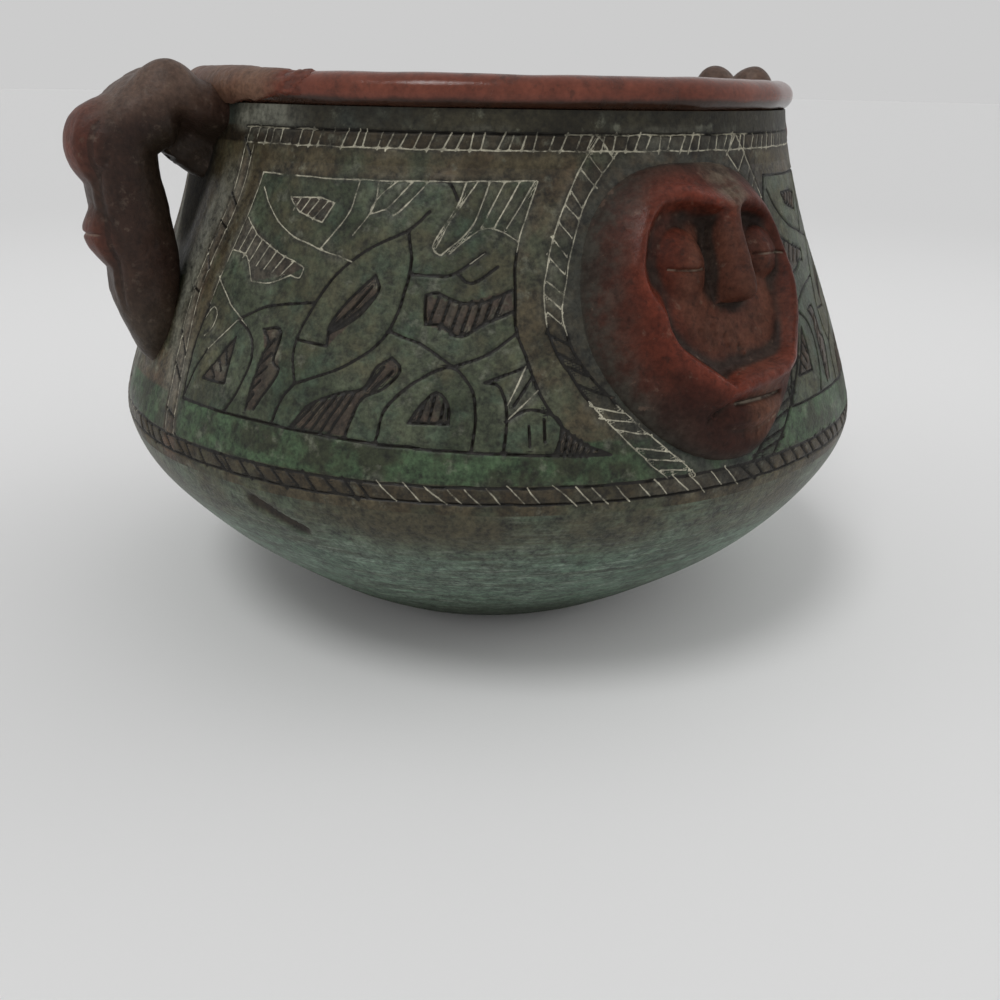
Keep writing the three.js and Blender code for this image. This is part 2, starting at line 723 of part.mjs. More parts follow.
const onAxis = (height) => new THREE.Vector2(0, height);
addBody('base_disc', turned([
  onAxis(0),
  new THREE.Vector2(BASE_RADIUS, 0),
  baseInside,
  onAxis(baseInside.y),
]), clay.teal);
addBody('lower_bowl', section(bowlCurve, 0, 1, baseInside, shoulderInside), clay.teal);
const plainWall = section(wallCurve, 0, collarPlace, shoulderInside, collarInside);
addBody('upper_wall', incised(plainWall), clay.green);
addBody('neck_collar', section(wallCurve, collarPlace, 1, collarInside, neckInside), clay.neck);
addBody('rim_coil', turned([
  ...rimArc(-RIM_SEAT_ANGLE, Math.PI + RIM_SEAT_ANGLE, 0),
  rimPoint(-RIM_SEAT_ANGLE, 0),
]), clay.red);

vessel.add(handle('right', 0, RIGHT_KNOB_RISE));
vessel.add(handle('left', Math.PI, LEFT_KNOB_RISE));
vessel.add(mask('front', 0));
vessel.add(mask('back', Math.PI));

export default vessel;
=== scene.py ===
import math

import bpy
import numpy as np
from mathutils import Matrix, Vector


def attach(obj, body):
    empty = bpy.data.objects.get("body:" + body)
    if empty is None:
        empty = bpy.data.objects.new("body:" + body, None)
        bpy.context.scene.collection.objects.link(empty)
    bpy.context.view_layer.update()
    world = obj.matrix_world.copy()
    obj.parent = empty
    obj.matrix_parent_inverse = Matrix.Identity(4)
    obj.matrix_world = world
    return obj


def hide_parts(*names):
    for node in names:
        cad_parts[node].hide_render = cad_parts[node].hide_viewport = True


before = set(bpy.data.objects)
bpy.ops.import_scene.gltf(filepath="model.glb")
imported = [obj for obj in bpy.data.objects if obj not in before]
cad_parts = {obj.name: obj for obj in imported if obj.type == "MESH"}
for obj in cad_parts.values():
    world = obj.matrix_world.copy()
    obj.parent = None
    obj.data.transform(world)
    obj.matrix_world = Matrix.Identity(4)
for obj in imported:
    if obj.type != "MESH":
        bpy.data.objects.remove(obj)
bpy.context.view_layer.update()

# Sizes are in millimetres and become metres when a mesh is made.
MM = 0.001

# Body
BASE_RADIUS = 46.0
SHOULDER_RADIUS = 110.0
SHOULDER_HEIGHT = 62.0
NECK_RADIUS = 82.7
NECK_HEIGHT = 143.0
COLLAR_DEPTH = 12.0
WALL = 7.0
FOOT_SPREAD = 20.0
FOOT_RISE = 8.0
SHOULDER_ROUND_BELOW = 20.0
SHOULDER_ROUND_ABOVE = 14.0
NECK_SPREAD = 4.3
NECK_RUN = 31.0
RIM_RADIUS = 79.7
RIM_HEIGHT = 146.29
RIM_HALF_WIDTH = 4.5
RIM_HALF_THICKNESS = 3.8
RIM_SEAT = math.radians(60)

# The painted bowl ends just under the lower ladder band.
BOWL_TOP = 59.5
COLLAR_BOTTOM = NECK_HEIGHT - COLLAR_DEPTH

# How far the base disc is dished inside, at its middle and halfway there
DISC_DIP = 0.6
DISC_DIP_HALFWAY = 0.4

# Incised lines; a filled line's depth is a share of an open one's
LINE_WIDTH = 0.4
LINE_DEPTH = 0.45
FILLED_DEPTH = 0.3
PEN_STEP = 1.2

# A groove and the burr beside it, in line widths from the line's middle
GROOVE = (0.15, 1.15)
BURR_START = (0.9, 1.5)
BURR_END = (1.5, 2.6)
BURR_RISE = 0.09

# How unevenly the tool bites: the least share of width and depth, and what noise adds to it
BITE_LEAST = 0.55
BITE_MORE = 0.9
BITE_SCALE = 160.0

# The gouge in the bowl, from end to end, as degrees from the mask and heights
GOUGE_TURN = (-62.7, -56.2)
GOUGE_HEIGHT = (56.3, 49.7)
GOUGE_WIDTH = 1.9
GOUGE_DEPTH = 1.3
GOUGE_POINTS = 8

# Mesh steps
WALL_COLUMNS = 1680
BOWL_COLUMNS = 720
RIM_COLUMNS = 900
RIM_ROWS = 40
WALL_STEP = 0.45
COLLAR_STEP = 0.42
BOWL_STEP = 0.9
INSIDE_STEP = 3.0
COLLAR_INSIDE_STEP = 2.0
OUTLINE_STEPS = 600
CURVE_STEPS = 10
CREST_STEPS = 5
CREASE_STEPS = 6
STATION_STEPS = 24

# Edges sharper than these angles are not smoothed over
WALL_SHARP = math.radians(65)
RIM_SHARP = math.radians(50)
DISC_SHARP = math.radians(40)

# Soft noise: sines in a set, sets, and how much finer and fainter each set is
WAVE_COUNT = 5
WAVE_OCTAVES = 3
WAVE_FINER = 1.9
WAVE_FADE = 0.55


def smoothstep(low, high, value):
    """0 at low and 1 at high, with a smooth rise between them."""
    t = np.clip((value - low) / (high - low), 0, 1)
    return t * t * (3 - 2 * t)


def hill(value, wide):
    """1 where the value is 0, falling away on both sides."""
    return np.exp(-((value / wide) ** 2))


def swell(q, rise, power):
    """A lump as high as rise at its middle, where q is 0, and down to nothing where q is 1."""
    return rise * np.clip(1 - q**2, 0, 1) ** power


def full_turn(columns):
    return np.arange(columns) * 2 * math.pi / columns


def run_along(line):
    """How far along a line each of its points is."""
    return np.concatenate([[0], np.cumsum(np.linalg.norm(np.diff(line, axis=0), axis=1))])


def catmull(points, steps=CURVE_STEPS):
    """A smooth line through the points, with so many steps between each two."""
    p = np.asarray(points, float)
    p = np.vstack([2 * p[0] - p[1], p, 2 * p[-1] - p[-2]])
    t = np.linspace(0, 1, steps, endpoint=False)[:, None]
    line = []
    for a, b, c, d in zip(p[:-3], p[1:-2], p[2:-1], p[3:]):
        bend = 2 * b + (c - a) * t + (2 * a - 5 * b + 4 * c - d) * t**2 + (3 * b - a - 3 * c + d) * t**3
        line.append(bend / 2)
    line.append(p[-2:-1])
    return np.vstack(line)


def waves(points, size, seed):
    """Soft noise from sums of sines in turned directions, about -1 to 1."""
    rng = np.random.default_rng(seed)
    total = np.zeros(points.shape[:-1])
    weight = 0.0
    for octave in range(WAVE_OCTAVES):
        fade = WAVE_FADE**octave
        for _ in range(WAVE_COUNT):
            direction = rng.normal(size=3)
            scale = 2 * math.pi / size * WAVE_FINER**octave / np.linalg.norm(direction)
            direction *= scale * rng.uniform(0.7, 1.3)
            total += np.sin(points @ direction + rng.uniform(0, 6.28)) * fade
        weight += fade
    return total / (weight * 2.2)


# Body outline, as radius and height


def bezier(a, b, c, d, t):
    a, b, c, d = (np.array(p, float) for p in (a, b, c, d))
    t = t[:, None]
    return (1 - t) ** 3 * a + 3 * (1 - t) ** 2 * t * b + 3 * (1 - t) * t**2 * c + t**3 * d


def body_outline():
    t = np.linspace(0, 1, OUTLINE_STEPS)
    bowl = bezier(
        (BASE_RADIUS, 0),
        (BASE_RADIUS + FOOT_SPREAD, FOOT_RISE),
        (SHOULDER_RADIUS, SHOULDER_HEIGHT - SHOULDER_ROUND_BELOW),
        (SHOULDER_RADIUS, SHOULDER_HEIGHT),
        t,
    )
    wall = bezier(
        (SHOULDER_RADIUS, SHOULDER_HEIGHT),
        (SHOULDER_RADIUS, SHOULDER_HEIGHT + SHOULDER_ROUND_ABOVE),
        (NECK_RADIUS + NECK_SPREAD, NECK_HEIGHT - NECK_RUN),
        (NECK_RADIUS, NECK_HEIGHT),
        t,
    )
    line = np.vstack([bowl, wall[1:]])
    slope = np.gradient(line, axis=0)
    normal = np.column_stack([slope[:, 1], -slope[:, 0]])
    return line, normal / np.linalg.norm(normal, axis=1)[:, None]


OUTLINE, OUTLINE_NORMAL = body_outline()
OUTLINE_RUN = run_along(OUTLINE)


def outer_radius(z):
    return np.interp(z, OUTLINE[:, 1], OUTLINE[:, 0])


def out_of_round(turn, z):
    """How far the hand-built wall strays from a true circle."""
    fade = smoothstep(0, 25, z) * (1 - 0.6 * smoothstep(120, 145, z))
    slow = 0.35 * np.sin(2 * turn + 0.6 + z / 60) + 0.22 * np.sin(5 * turn - 1.1 + z / 23)
    return fade * (slow + 0.13 * np.sin(9 * turn + z / 9 + 2) + 0.1 * np.sin(14 * turn - z / 6))


def wall_point(turn, z, out=0.0):
    """A point on the wall; turn runs from the front mask at -Y towards +X."""
    lift = out + out_of_round(turn, z)
    radius = outer_radius(z) + lift * np.interp(z, OUTLINE[:, 1], OUTLINE_NORMAL[:, 0])
    height = z + lift * np.interp(z, OUTLINE[:, 1], OUTLINE_NORMAL[:, 1])
    return np.stack([radius * np.sin(turn), -radius * np.cos(turn), height], axis=-1)


# Meshes


def make_object(name, points, face_sets, normals=None, values=None):
    """An object from points in millimetres and arrays of faces; normals are for the faces' corners."""
    mesh = bpy.data.meshes.new(name)
    corners = np.concatenate([np.asarray(f, np.int32).ravel() for f in face_sets])
    counts = np.concatenate([np.full(len(f), np.shape(f)[1], np.int32) for f in face_sets])
    starts = np.concatenate([[0], np.cumsum(counts)[:-1]]).astype(np.int32)
    mesh.vertices.add(len(points))
    mesh.vertices.foreach_set("co", (np.asarray(points, float) * MM).astype(np.float32).ravel())
    mesh.loops.add(len(corners))
    mesh.loops.foreach_set("vertex_index", corners)
    mesh.polygons.add(len(counts))
    mesh.polygons.foreach_set("loop_start", starts)
    mesh.polygons.foreach_set("use_smooth", np.ones(len(counts), bool))
    mesh.update(calc_edges=True)
    for key, value in (values or {}).items():
        value = np.asarray(value, np.float32)
        if value.ndim == 2:
            mesh.attributes.new(key, "FLOAT_VECTOR", "POINT").data.foreach_set("vector", value.ravel())
        else:
            mesh.attributes.new(key, "FLOAT", "POINT").data.foreach_set("value", value)
    if normals is not None:
        mesh.normals_split_custom_set(np.asarray(normals, np.float32).reshape(-1, 3).tolist())
    thing = bpy.data.objects.new(name, mesh)
    bpy.context.scene.collection.objects.link(thing)
    return thing


def grid_faces(rows, columns, wrap=False, start=0):
    """Quads of a grid whose points run along the columns first."""
    r = np.arange(rows - 1)[:, None]
    c = np.arange(columns if wrap else columns - 1)[None, :]
    here = r * columns + c
    beside = r * columns + (c + 1) % columns
    quads = np.stack([here, beside, beside + columns, here + columns], axis=-1)
    return quads.reshape(-1, 4) + start


def place(thing, material, slot, *nodes):
    thing.data.materials.clear()
    thing.data.materials.append(material)
    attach(thing, "root")
    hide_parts(*nodes)
    return thing


# Incised ornament. A point is (degrees from the mask towards +X, height).
# Dark lines are open cuts; chalk lines have white slip rubbed into them.

LINES = {"dark": [], "chalk": []}
QUARTER = 90.0
MEAN_RADIUS = 100.0
RUNG_SEED = 40
STRETCH_POINTS = 14

# The shake of the hand that drew the lines
SHAKE_SIZE = 9
SHAKE_SEED = 11
SHAKE_TURN = 0.0016
SHAKE_UP = 0.12

# Heights of the rails of the bands round the vessel
NECK_BAND = (134.6, 138)
SHOULDER_BAND = (66, 62.3)

# The inner rail of the upright ladder beside a handle, as degrees from the handle and height
HANDLE_BAND = [(14.1, 134.6), (12, 121), (9, 107), (8, 95), (9.3, 75), (10, 66)]
BAND_TURN = 2.2


def draw(kind, points, quarter=0):
    """Draws one line through the points, turned on by so many quarters, with the shake of a hand."""
    p = np.asarray(points, float)
    line = p if len(p) == 2 else catmull(p)
    scale = np.array([math.radians(1) * outer_radius(line[:, 1].mean()), 1.0])
    run = run_along(line * scale)
    steps = max(2, int(run[-1] / PEN_STEP) + 1)
    places = np.linspace(0, run[-1], steps)
    turn = np.radians(np.interp(places, run, line[:, 0]) + quarter * QUARTER)
    height = np.interp(places, run, line[:, 1])
    shake = waves(np.stack([turn * MEAN_RADIUS, height, places * 0], axis=-1), SHAKE_SIZE, SHAKE_SEED)
    LINES[kind].append(wall_point(turn + shake * SHAKE_TURN, height + shake * SHAKE_UP))


def along(line, share):
    line = np.asarray(line, float)
    run = run_along(line)
    return [np.interp(share * run[-1], run, line[:, i]) for i in (0, 1)]


def hatch(kind, first, second, count, quarter):
    """Strokes from one edge to another, evenly spread."""
    for i in range(count):
        share = (i + 0.5) / count
        draw(kind, [along(first, share), along(second, share)], quarter)


def ladder(rail_kind, rung_kind, first, second, spacing, lean, quarter, other_kind=None):
    """Two rails with short rungs between them; lean moves a rung's end along, as a share of the spacing."""
    first, second = (catmull(rail) if len(rail) > 2 else np.asarray(rail, float) for rail in (first, second))
    draw(rail_kind, first, quarter)
    draw(other_kind or rail_kind, second, quarter)
    scale = np.array([math.radians(1) * MEAN_RADIUS, 1.0])
    length = np.linalg.norm(np.diff(first * scale, axis=0), axis=1).sum()
    count = max(2, int(length / spacing))
    hand = np.random.default_rng(RUNG_SEED + len(LINES[rung_kind]))
    for i in range(count):
        rung = i + hand.uniform(0, 0.4)
        near = np.array(along(first, rung / count))
        far = np.array(along(second, min(1.0, (rung + lean + hand.uniform(-0.2, 0.2)) / count)))
        short, over = hand.uniform(-0.16, 0.2, 2)
        draw(rung_kind, [near + (near - far) * short, far + (far - near) * over], quarter)


def stretch(line, start, end):
    """Points along part of a smooth line, from one share of it to another."""
    smooth = catmull(line)
    return [along(smooth, share) for share in np.linspace(start, end, STRETCH_POINTS)]


def panel(quarter, white):
    """One field of leaves, arches and hatched patches, beside a mask."""

    def ink(points, kind="dark"):
        draw(kind, points, quarter)

    def stripes(first, second, count, kind="dark"):
        hatch(kind, first, second, count, quarter)

    # Field edge, drawn out to a point under the mask
    ink([(-70.5, 128.3), (-58, 127.9), (-45.5, 128), (-25.2, 128.6)], white)
    ink([(-25.2, 128.6), (-27.8, 118), (-28.4, 114)], white)
    ink([(-28.4, 114), (-28.7, 108.5), (-28.6, 98.5), (-27, 91), (-25.5, 84.5), (-22, 76.5), (-17.5, 72.4)])
    ink([(-77.2, 75.5), (-61.5, 75.3), (-49, 74.5), (-34, 73.5), (-17.5, 72.4)])
    ink([(-70.5, 128.3), (-74.8, 107.5), (-76.3, 97.5)], white)
    ink([(-76.3, 97.5), (-77.5, 88), (-77.2, 75.5)])

    # Quarter arc at the upper corner, with a rib and a hatched lozenge
    ink([(-69.8, 125), (-67.3, 120.3), (-63, 115.8), (-57, 113), (-51.7, 111)], white)
    ink([(-51.7, 127.7), (-53, 121), (-57, 113.2)], white)
    lozenge = [(-63.8, 123.5), (-58, 123.7), (-55.6, 122.8), (-57.3, 118.7), (-61.7, 120.3), (-63.8, 123.5)]
    for first, second in zip(lozenge, lozenge[1:]):
        ink([first, second], white)
    stripes([(-62.5, 123.3), (-56, 122.8)], [(-63.5, 121), (-58.5, 118.8)], 4, white)

    # Striped wing under the upper edge
    ink([(-48.6, 127.9), (-49.3, 122), (-52, 116.4)], white)
    ink([(-45.7, 128), (-48.5, 124.5), (-49.6, 121.1), (-47.1, 122), (-45.7, 121), (-40.9, 128.2)], white)
    ink([(-43.5, 127.8), (-47.1, 122)], white)
    ink([(-39.9, 128.1), (-38, 128), (-36.7, 124.4)])

    # Falling stripes with a hook, over a bow
    ink([(-35.5, 128.2), (-36.7, 123.4), (-40, 115.2), (-38.9, 113.2)], white)
    ink([(-34, 128.1), (-37.7, 120), (-39.5, 114.7)], white)
    ink([(-32.1, 128.5), (-34.7, 119), (-38.7, 113.2)], white)
    stripes([(-31, 128.5), (-24.6, 128.5)], [(-34.3, 118.8), (-28.9, 118.8)], 3, white)
    ink([(-37.6, 113.5), (-34.9, 117), (-32.8, 118.7), (-30.3, 118.1), (-28.4, 116.3)], white)
    ink([(-42.6, 109), (-39.6, 108.9), (-36.8, 109.5), (-32.7, 113.9)])
    ink([(-34.8, 111.5), (-32.7, 113.9)], white)
    ink([(-36.5, 109.6), (-34.4, 107.6), (-30.9, 111.1)])

    # Hatched boat
    boat_top = [(-40.6, 104.8), (-38.8, 105.3), (-35.8, 103.5), (-32.5, 104), (-29.2, 106.2)]
    boat_bottom = [(-40.4, 99.1), (-38.2, 99), (-35.8, 96.8), (-32.6, 99.5), (-28.8, 102.1)]
    ink(boat_top)
    ink(boat_bottom)
    ink([boat_top[0], boat_bottom[0]])
    stripes([(-39.5, 104.6), (-35.8, 103.5), (-29.4, 105.6)], [(-40.6, 99.6), (-36.5, 97), (-30.6, 101)], 7)

    # Two curves that meet over the arch
    ink([(-45.2, 97.4), (-40.3, 94.7), (-36.6, 90.8)])
    ink([(-36.8, 90.6), (-32.5, 93.1), (-28.8, 97.2)])

    # Large leaf with a striped seed in it
    leaf = [(-40.7, 121.9), (-43.5, 118), (-49.4, 113.5), (-54.3, 107.1), (-57.6, 97.5), (-58.4, 90.4)]
    ink([*leaf, (-57.4, 84.6)])
    ink([(-43.5, 118), (-42.9, 110.3), (-45.2, 97.4), (-50.3, 89.9), (-57.4, 84.6)])
    ink([(-47.8, 108.4), (-51.5, 102.7), (-53.6, 97.6), (-53.7, 93.1)])
    ink([(-47.8, 108.4), (-47.2, 105.3), (-49.7, 99.8), (-53.6, 95.8)])
    ink([(-48.2, 106), (-50.5, 101.5), (-53.4, 97)])
    ink([(-47.6, 104.2), (-50, 100.6), (-53.2, 96.4)])
    ink([(-58.3, 93.9), (-53.9, 93.1)])

    # Arcs to the left of the leaf
    ink([(-56.9, 101.8), (-63.7, 100), (-67.1, 97.7), (-69.2, 95.9)])
    ink([(-75.7, 104.1), (-74.4, 102.3), (-71.7, 99), (-67.5, 94.9)], white)
    ink([(-76.5, 94.4), (-75.4, 97.2), (-74.1, 96.1), (-74.4, 92.8), (-75.8, 90.5)], white)

    # Hatched patch at the left edge
    ink([(-72.2, 118), (-69, 114.5), (-64.5, 111.5), (-59.4, 108.9)], white)
    ink([(-72.7, 117.9), (-74.2, 110.5)], white)
    ink([(-74.2, 110.5), (-70.6, 109.6), (-68.6, 104.4)], white)
    ink([(-68.6, 104.4), (-65, 104.7), (-61.4, 107)], white)
    ink([(-61.4, 107), (-59.9, 106.4), (-59.4, 108.9)], white)
    upper = [(-71.5, 117), (-68.5, 114), (-60.5, 109.5)]
    stripes(upper, [(-73.5, 110.6), (-69.5, 108), (-62.5, 106.4)], 7, white)

    # Arch at the lower left with a hatched triangle
    ink([(-69.2, 95.9), (-66.7, 93.8), (-65.3, 90.5), (-65.2, 86.1), (-66.4, 80.3), (-67.9, 76)])
    ink([(-69.2, 95.9), (-74.4, 87.6)], white)
    ink([(-74.4, 87.6), (-76.1, 81.9), (-77.1, 75.6)])
    ink([(-68.9, 91.9), (-73.8, 81.5)])
    ink([(-73.8, 81.5), (-69, 81.6)])
    ink([(-69, 81.6), (-68.9, 91.9)])
    stripes([(-69.5, 90.5), (-73, 83)], [(-69, 86.5), (-71.5, 81.6)], 3)

    # Dark upright strip
    ink([(-64.2, 94.8), (-62.8, 92.4), (-63.5, 87.8), (-64.4, 77)])
    ink([(-64.2, 94.8), (-61.2, 95.1), (-61.3, 88.3), (-60.2, 86.4), (-63.1, 77.5)])
    stripes([(-61.8, 94.5), (-62, 88), (-63.6, 79.5)], [(-63.2, 91), (-63.6, 85), (-64.1, 78)], 5)
    ink([(-57.4, 84.6), (-58.9, 81), (-59.8, 76)])

    # Hatched fan that runs up into a leaf
    ink([(-56.8, 75.8), (-55.1, 80.3), (-51.5, 83.5), (-47.8, 85.3), (-46.4, 89.7), (-44.4, 92)])
    ink([(-44.4, 92), (-43.2, 89.6), (-45.1, 85.7), (-48.1, 82.7), (-49.4, 75.1)])
    stripes([(-54.5, 81), (-48.2, 84.8)], [(-57.2, 75.7), (-51, 75)], 5)
    ink([(-45.4, 90), (-47.4, 85.3)])
    ink([(-44.2, 89.2), (-46.6, 85)])

    # Round arch with a hatched gable
    ink([(-45.5, 75), (-44.6, 81.6), (-41.3, 87.2), (-36.8, 90.6), (-34.3, 86.6), (-33.5, 81.5), (-34, 73.8)])
    gable = [(-41.6, 79.1), (-40.3, 82.6), (-38.4, 85.6), (-37, 83.2), (-36.7, 79.3)]
    ink(gable)
    ink([gable[0], gable[-1]])
    stripes([(-40.3, 82.6), (-38.4, 85.4), (-36.9, 82.6)], [(-41.2, 79.2), (-37.2, 79.3)], 3)

    # Small arch with two slits, under hatched leaves
    ink([(-30.3, 73.4), (-29.8, 80.5), (-30.6, 86.7), (-32.5, 87.7)])
    ink([(-32.5, 87.7), (-27.2, 91)])
    ink([(-27.4, 91), (-29.8, 83.1)], white)
    ink([(-26.6, 89), (-29, 83.1)])
    ink([(-26, 86.1), (-29.6, 80.5)], white)
    ink([(-30, 80), (-27.2, 82.3), (-24.1, 80.9), (-23.2, 77.8), (-24.3, 72.8)])
    ink([(-27.2, 79), (-27.1, 74.8)])
    ink([(-25.3, 80.4), (-25.3, 75.8)])
    stripes([(-23.6, 79), (-19.2, 73.6)], [(-24.2, 72.7), (-20, 72.3)], 6)


def ornament():
    for quarter in range(4):
        panel(quarter, "dark" if quarter == 1 else "chalk")

    # Ladder band under the neck, from handle to handle, and the one over the shoulder
    upper_rail = NECK_BAND[1]
    for quarter in range(4):
        start, end = (-75.9, 0) if quarter % 2 == 0 else (-90, -14.1)
        rails = [[(start, height), (end, height)] for height in NECK_BAND]
        ladder("chalk", "chalk", *rails, spacing=3.4, lean=0.45, quarter=quarter, other_kind="dark")
        draw("chalk", [(start, upper_rail), (start + 16, upper_rail)], quarter)
        draw("chalk", [(end - 21, upper_rail), (end, upper_rail)], quarter)
        for half, kind in ((-90, "dark"), (-45, "chalk")):
            rails = [[(half, height), (half + 45, height)] for height in SHOULDER_BAND]
            ladder("dark", kind, *rails, spacing=4.2, lean=0.8, quarter=quarter)

    # Ladder round each mask, a little off its middle, with chalk left in part of it
    outside = [
        (-15.6, 138), (-19.7, 128.9), (-23.7, 114.6), (-24.7, 100.3), (-21.2, 86.9), (-13.5, 71.5),
        (-10.3, 66),
    ]
    inside = [
        (-12.7, 134.6), (-18.4, 123.8), (-21.7, 108.4), (-22.2, 98), (-17.9, 85.6), (-8.1, 69),
        (-6.3, 66),
    ]
    middle = -1.8
    mirrored = [[(2 * middle - turn, height) for turn, height in line] for line in (outside, inside)]
    left_parts = ((0, 0.53, "chalk"), (0.53, 0.74, "dark"), (0.74, 1, "chalk"))
    right_parts = ((0, 0.24, "chalk"), (0.24, 1, "dark"))
    for quarter in (0, 2):
        for rails, parts in (((outside, inside), left_parts), (mirrored, right_parts)):
            for start, end, kind in parts:
                lines = [stretch(line, start, end) for line in rails]
                ladder(kind, kind, *lines, spacing=3.9, lean=0.35, quarter=quarter)

    # Upright ladder on each side of the handles, worn almost away
    for quarter in (1, 3):
        for side in (-1, 1):
            inner = [(side * turn, height) for turn, height in HANDLE_BAND]
            outer = [(side * (turn + BAND_TURN), height) for turn, height in HANDLE_BAND]
            ladder("chalk", "dark", inner, outer, spacing=8, lean=0.3, quarter=quarter)


def line_object(kind):
    points = np.vstack(LINES[kind])
    ends = np.cumsum([len(line) for line in LINES[kind]])
    first = np.setdiff1d(np.arange(len(points) - 1), ends - 1)
    mesh = bpy.data.meshes.new(f"{kind}_lines")
    mesh.vertices.add(len(points))
    mesh.vertices.foreach_set("co", (points * MM).astype(np.float32).ravel())
    mesh.edges.add(len(first))
    mesh.edges.foreach_set("vertices", np.column_stack([first, first + 1]).astype(np.int32).ravel())
    mesh.update()
    thing = bpy.data.objects.new(mesh.name, mesh)
    bpy.context.scene.collection.objects.link(thing)
    return thing


def incise_tree():
    """Presses the lines into a wall and keeps how far each point is from them."""
    tree = bpy.data.node_groups.new("Incise", "GeometryNodeTree")
    inputs = {
        "Geometry": "Geometry",
        "Dark lines": "Object",
        "Chalk lines": "Object",
        "Line width": "Float",
        "Line depth": "Float",
        "Clay": "Material",
    }
    for name, kind in inputs.items():
        tree.interface.new_socket(name, in_out="INPUT", socket_type=f"NodeSocket{kind}")
    tree.interface.new_socket("Geometry", in_out="OUTPUT", socket_type="NodeSocketGeometry")
    add = tree.nodes.new
    link = tree.links.new
    given = add("NodeGroupInput")

    def math_node(operation, a, b):
        node = add("ShaderNodeMath")
        node.operation = operation
        for socket, value in zip(node.inputs, (a, b)):
            if isinstance(value, (int, float)):
                socket.default_value = value
            else:
                link(value, socket)
        return node.outputs[0]

    here = add("GeometryNodeInputPosition").outputs[0]
    distance = {}
    way = {}
    for name in ("Dark lines", "Chalk lines"):
        info = add("GeometryNodeObjectInfo")
        link(given.outputs[name], info.inputs["Object"])
        near = add("GeometryNodeProximity")
        near.target_element = "EDGES"
        link(info.outputs["Geometry"], near.inputs[0])
        distance[name] = near.outputs["Distance"]
        apart = add("ShaderNodeVectorMath")
        apart.operation = "SUBTRACT"
        link(here, apart.inputs[0])
        link(near.outputs["Position"], apart.inputs[1])
        way[name] = apart.outputs[0]

    # The tool bites unevenly, so width and depth vary along a line.
    noise = add("ShaderNodeTexNoise")
    noise.inputs["Scale"].default_value = BITE_SCALE
    bite = math_node("ADD", BITE_LEAST, math_node("MULTIPLY", noise.outputs[0], BITE_MORE))
    width = math_node("MULTIPLY", given.outputs["Line width"], bite)

    def fall(name, start, end):
        node = add("ShaderNodeMapRange")
        node.interpolation_type = "SMOOTHSTEP"
        link(distance[name], node.inputs["Value"])
        link(math_node("MULTIPLY", width, start), node.inputs["From Min"])
        link(math_node("MULTIPLY", width, end), node.inputs["From Max"])
        node.inputs["To Min"].default_value = 1.0
        node.inputs["To Max"].default_value = 0.0
        return node.outputs[0]

    filled = math_node("MULTIPLY", fall("Chalk lines", *GROOVE), FILLED_DEPTH)
    share = math_node("MAXIMUM", fall("Dark lines", *GROOVE), filled)
    groove = math_node("MULTIPLY", math_node("MULTIPLY", share, given.outputs["Line depth"]), bite)
    burr = math_node("SUBTRACT", fall("Dark lines", *BURR_END), fall("Dark lines", *BURR_START))
    lift = math_node("SUBTRACT", math_node("MULTIPLY", burr, BURR_RISE * MM), groove)

    outward = add("GeometryNodeInputNamedAttribute")
    outward.data_type = "FLOAT_VECTOR"
    outward.inputs["Name"].default_value = "outward"
    offset = add("ShaderNodeVectorMath")
    offset.operation = "SCALE"
    link(outward.outputs[0], offset.inputs[0])
    link(lift, offset.inputs["Scale"])

    result = given.outputs["Geometry"]
    for name, key in (("Dark lines", "dark"), ("Chalk lines", "chalk")):
        for ending, kind, value in (("cut", "FLOAT", distance[name]), ("way", "FLOAT_VECTOR", way[name])):
            keep = add("GeometryNodeStoreNamedAttribute")
            keep.data_type = kind
            keep.domain = "POINT"
            keep.inputs["Name"].default_value = f"{key}_{ending}"
            link(result, keep.inputs["Geometry"])
            link(value, keep.inputs["Value"])
            result = keep.outputs[0]
    moved = add("GeometryNodeSetPosition")
    link(result, moved.inputs["Geometry"])
    link(offset.outputs[0], moved.inputs["Offset"])
    realize = add("GeometryNodeRealizeInstances")
    link(moved.outputs[0], realize.inputs[0])
    coat = add("GeometryNodeSetMaterial")
    link(realize.outputs[0], coat.inputs["Geometry"])
    link(given.outputs["Clay"], coat.inputs["Material"])
    link(coat.outputs[0], add("NodeGroupOutput").inputs[0])
    return tree


def incise(thing, tree, dark, chalk, material, width=LINE_WIDTH, depth=LINE_DEPTH):
    """Runs the tree on one wall piece and keeps the result as a plain mesh."""
    modifier = thing.modifiers.new("Incise", "NODES")
    modifier.node_group = tree
    wanted = {
        "Dark lines": dark,
        "Chalk lines": chalk,
        "Line width": width * MM,
        "Line depth": depth * MM,
        "Clay": material,
    }
    for item in tree.interface.items_tree:
        if item.in_out == "INPUT" and item.name in wanted:
            modifier[item.identifier] = wanted[item.name]
    graph = bpy.context.evaluated_depsgraph_get()
    mesh = bpy.data.meshes.new_from_object(thing.evaluated_get(graph), depsgraph=graph)
    old = thing.data
    thing.modifiers.clear()
    thing.data = mesh
    bpy.data.meshes.remove(old)
    mesh.name = thing.name
    mesh.attributes.remove(mesh.attributes["outward"])
    mesh.set_sharp_from_angle(angle=WALL_SHARP)
    return thing


def distance_to(points, line):
    """Shortest distance from each point to a line of points."""
    best = np.full(points.shape[:-1], np.inf)
    for a, b in zip(line[:-1], line[1:]):
        run = b - a
        t = np.clip(((points - a) @ run) / (run @ run), 0, 1)
        best = np.minimum(best, np.linalg.norm(points - a - t[..., None] * run, axis=-1))
    return best


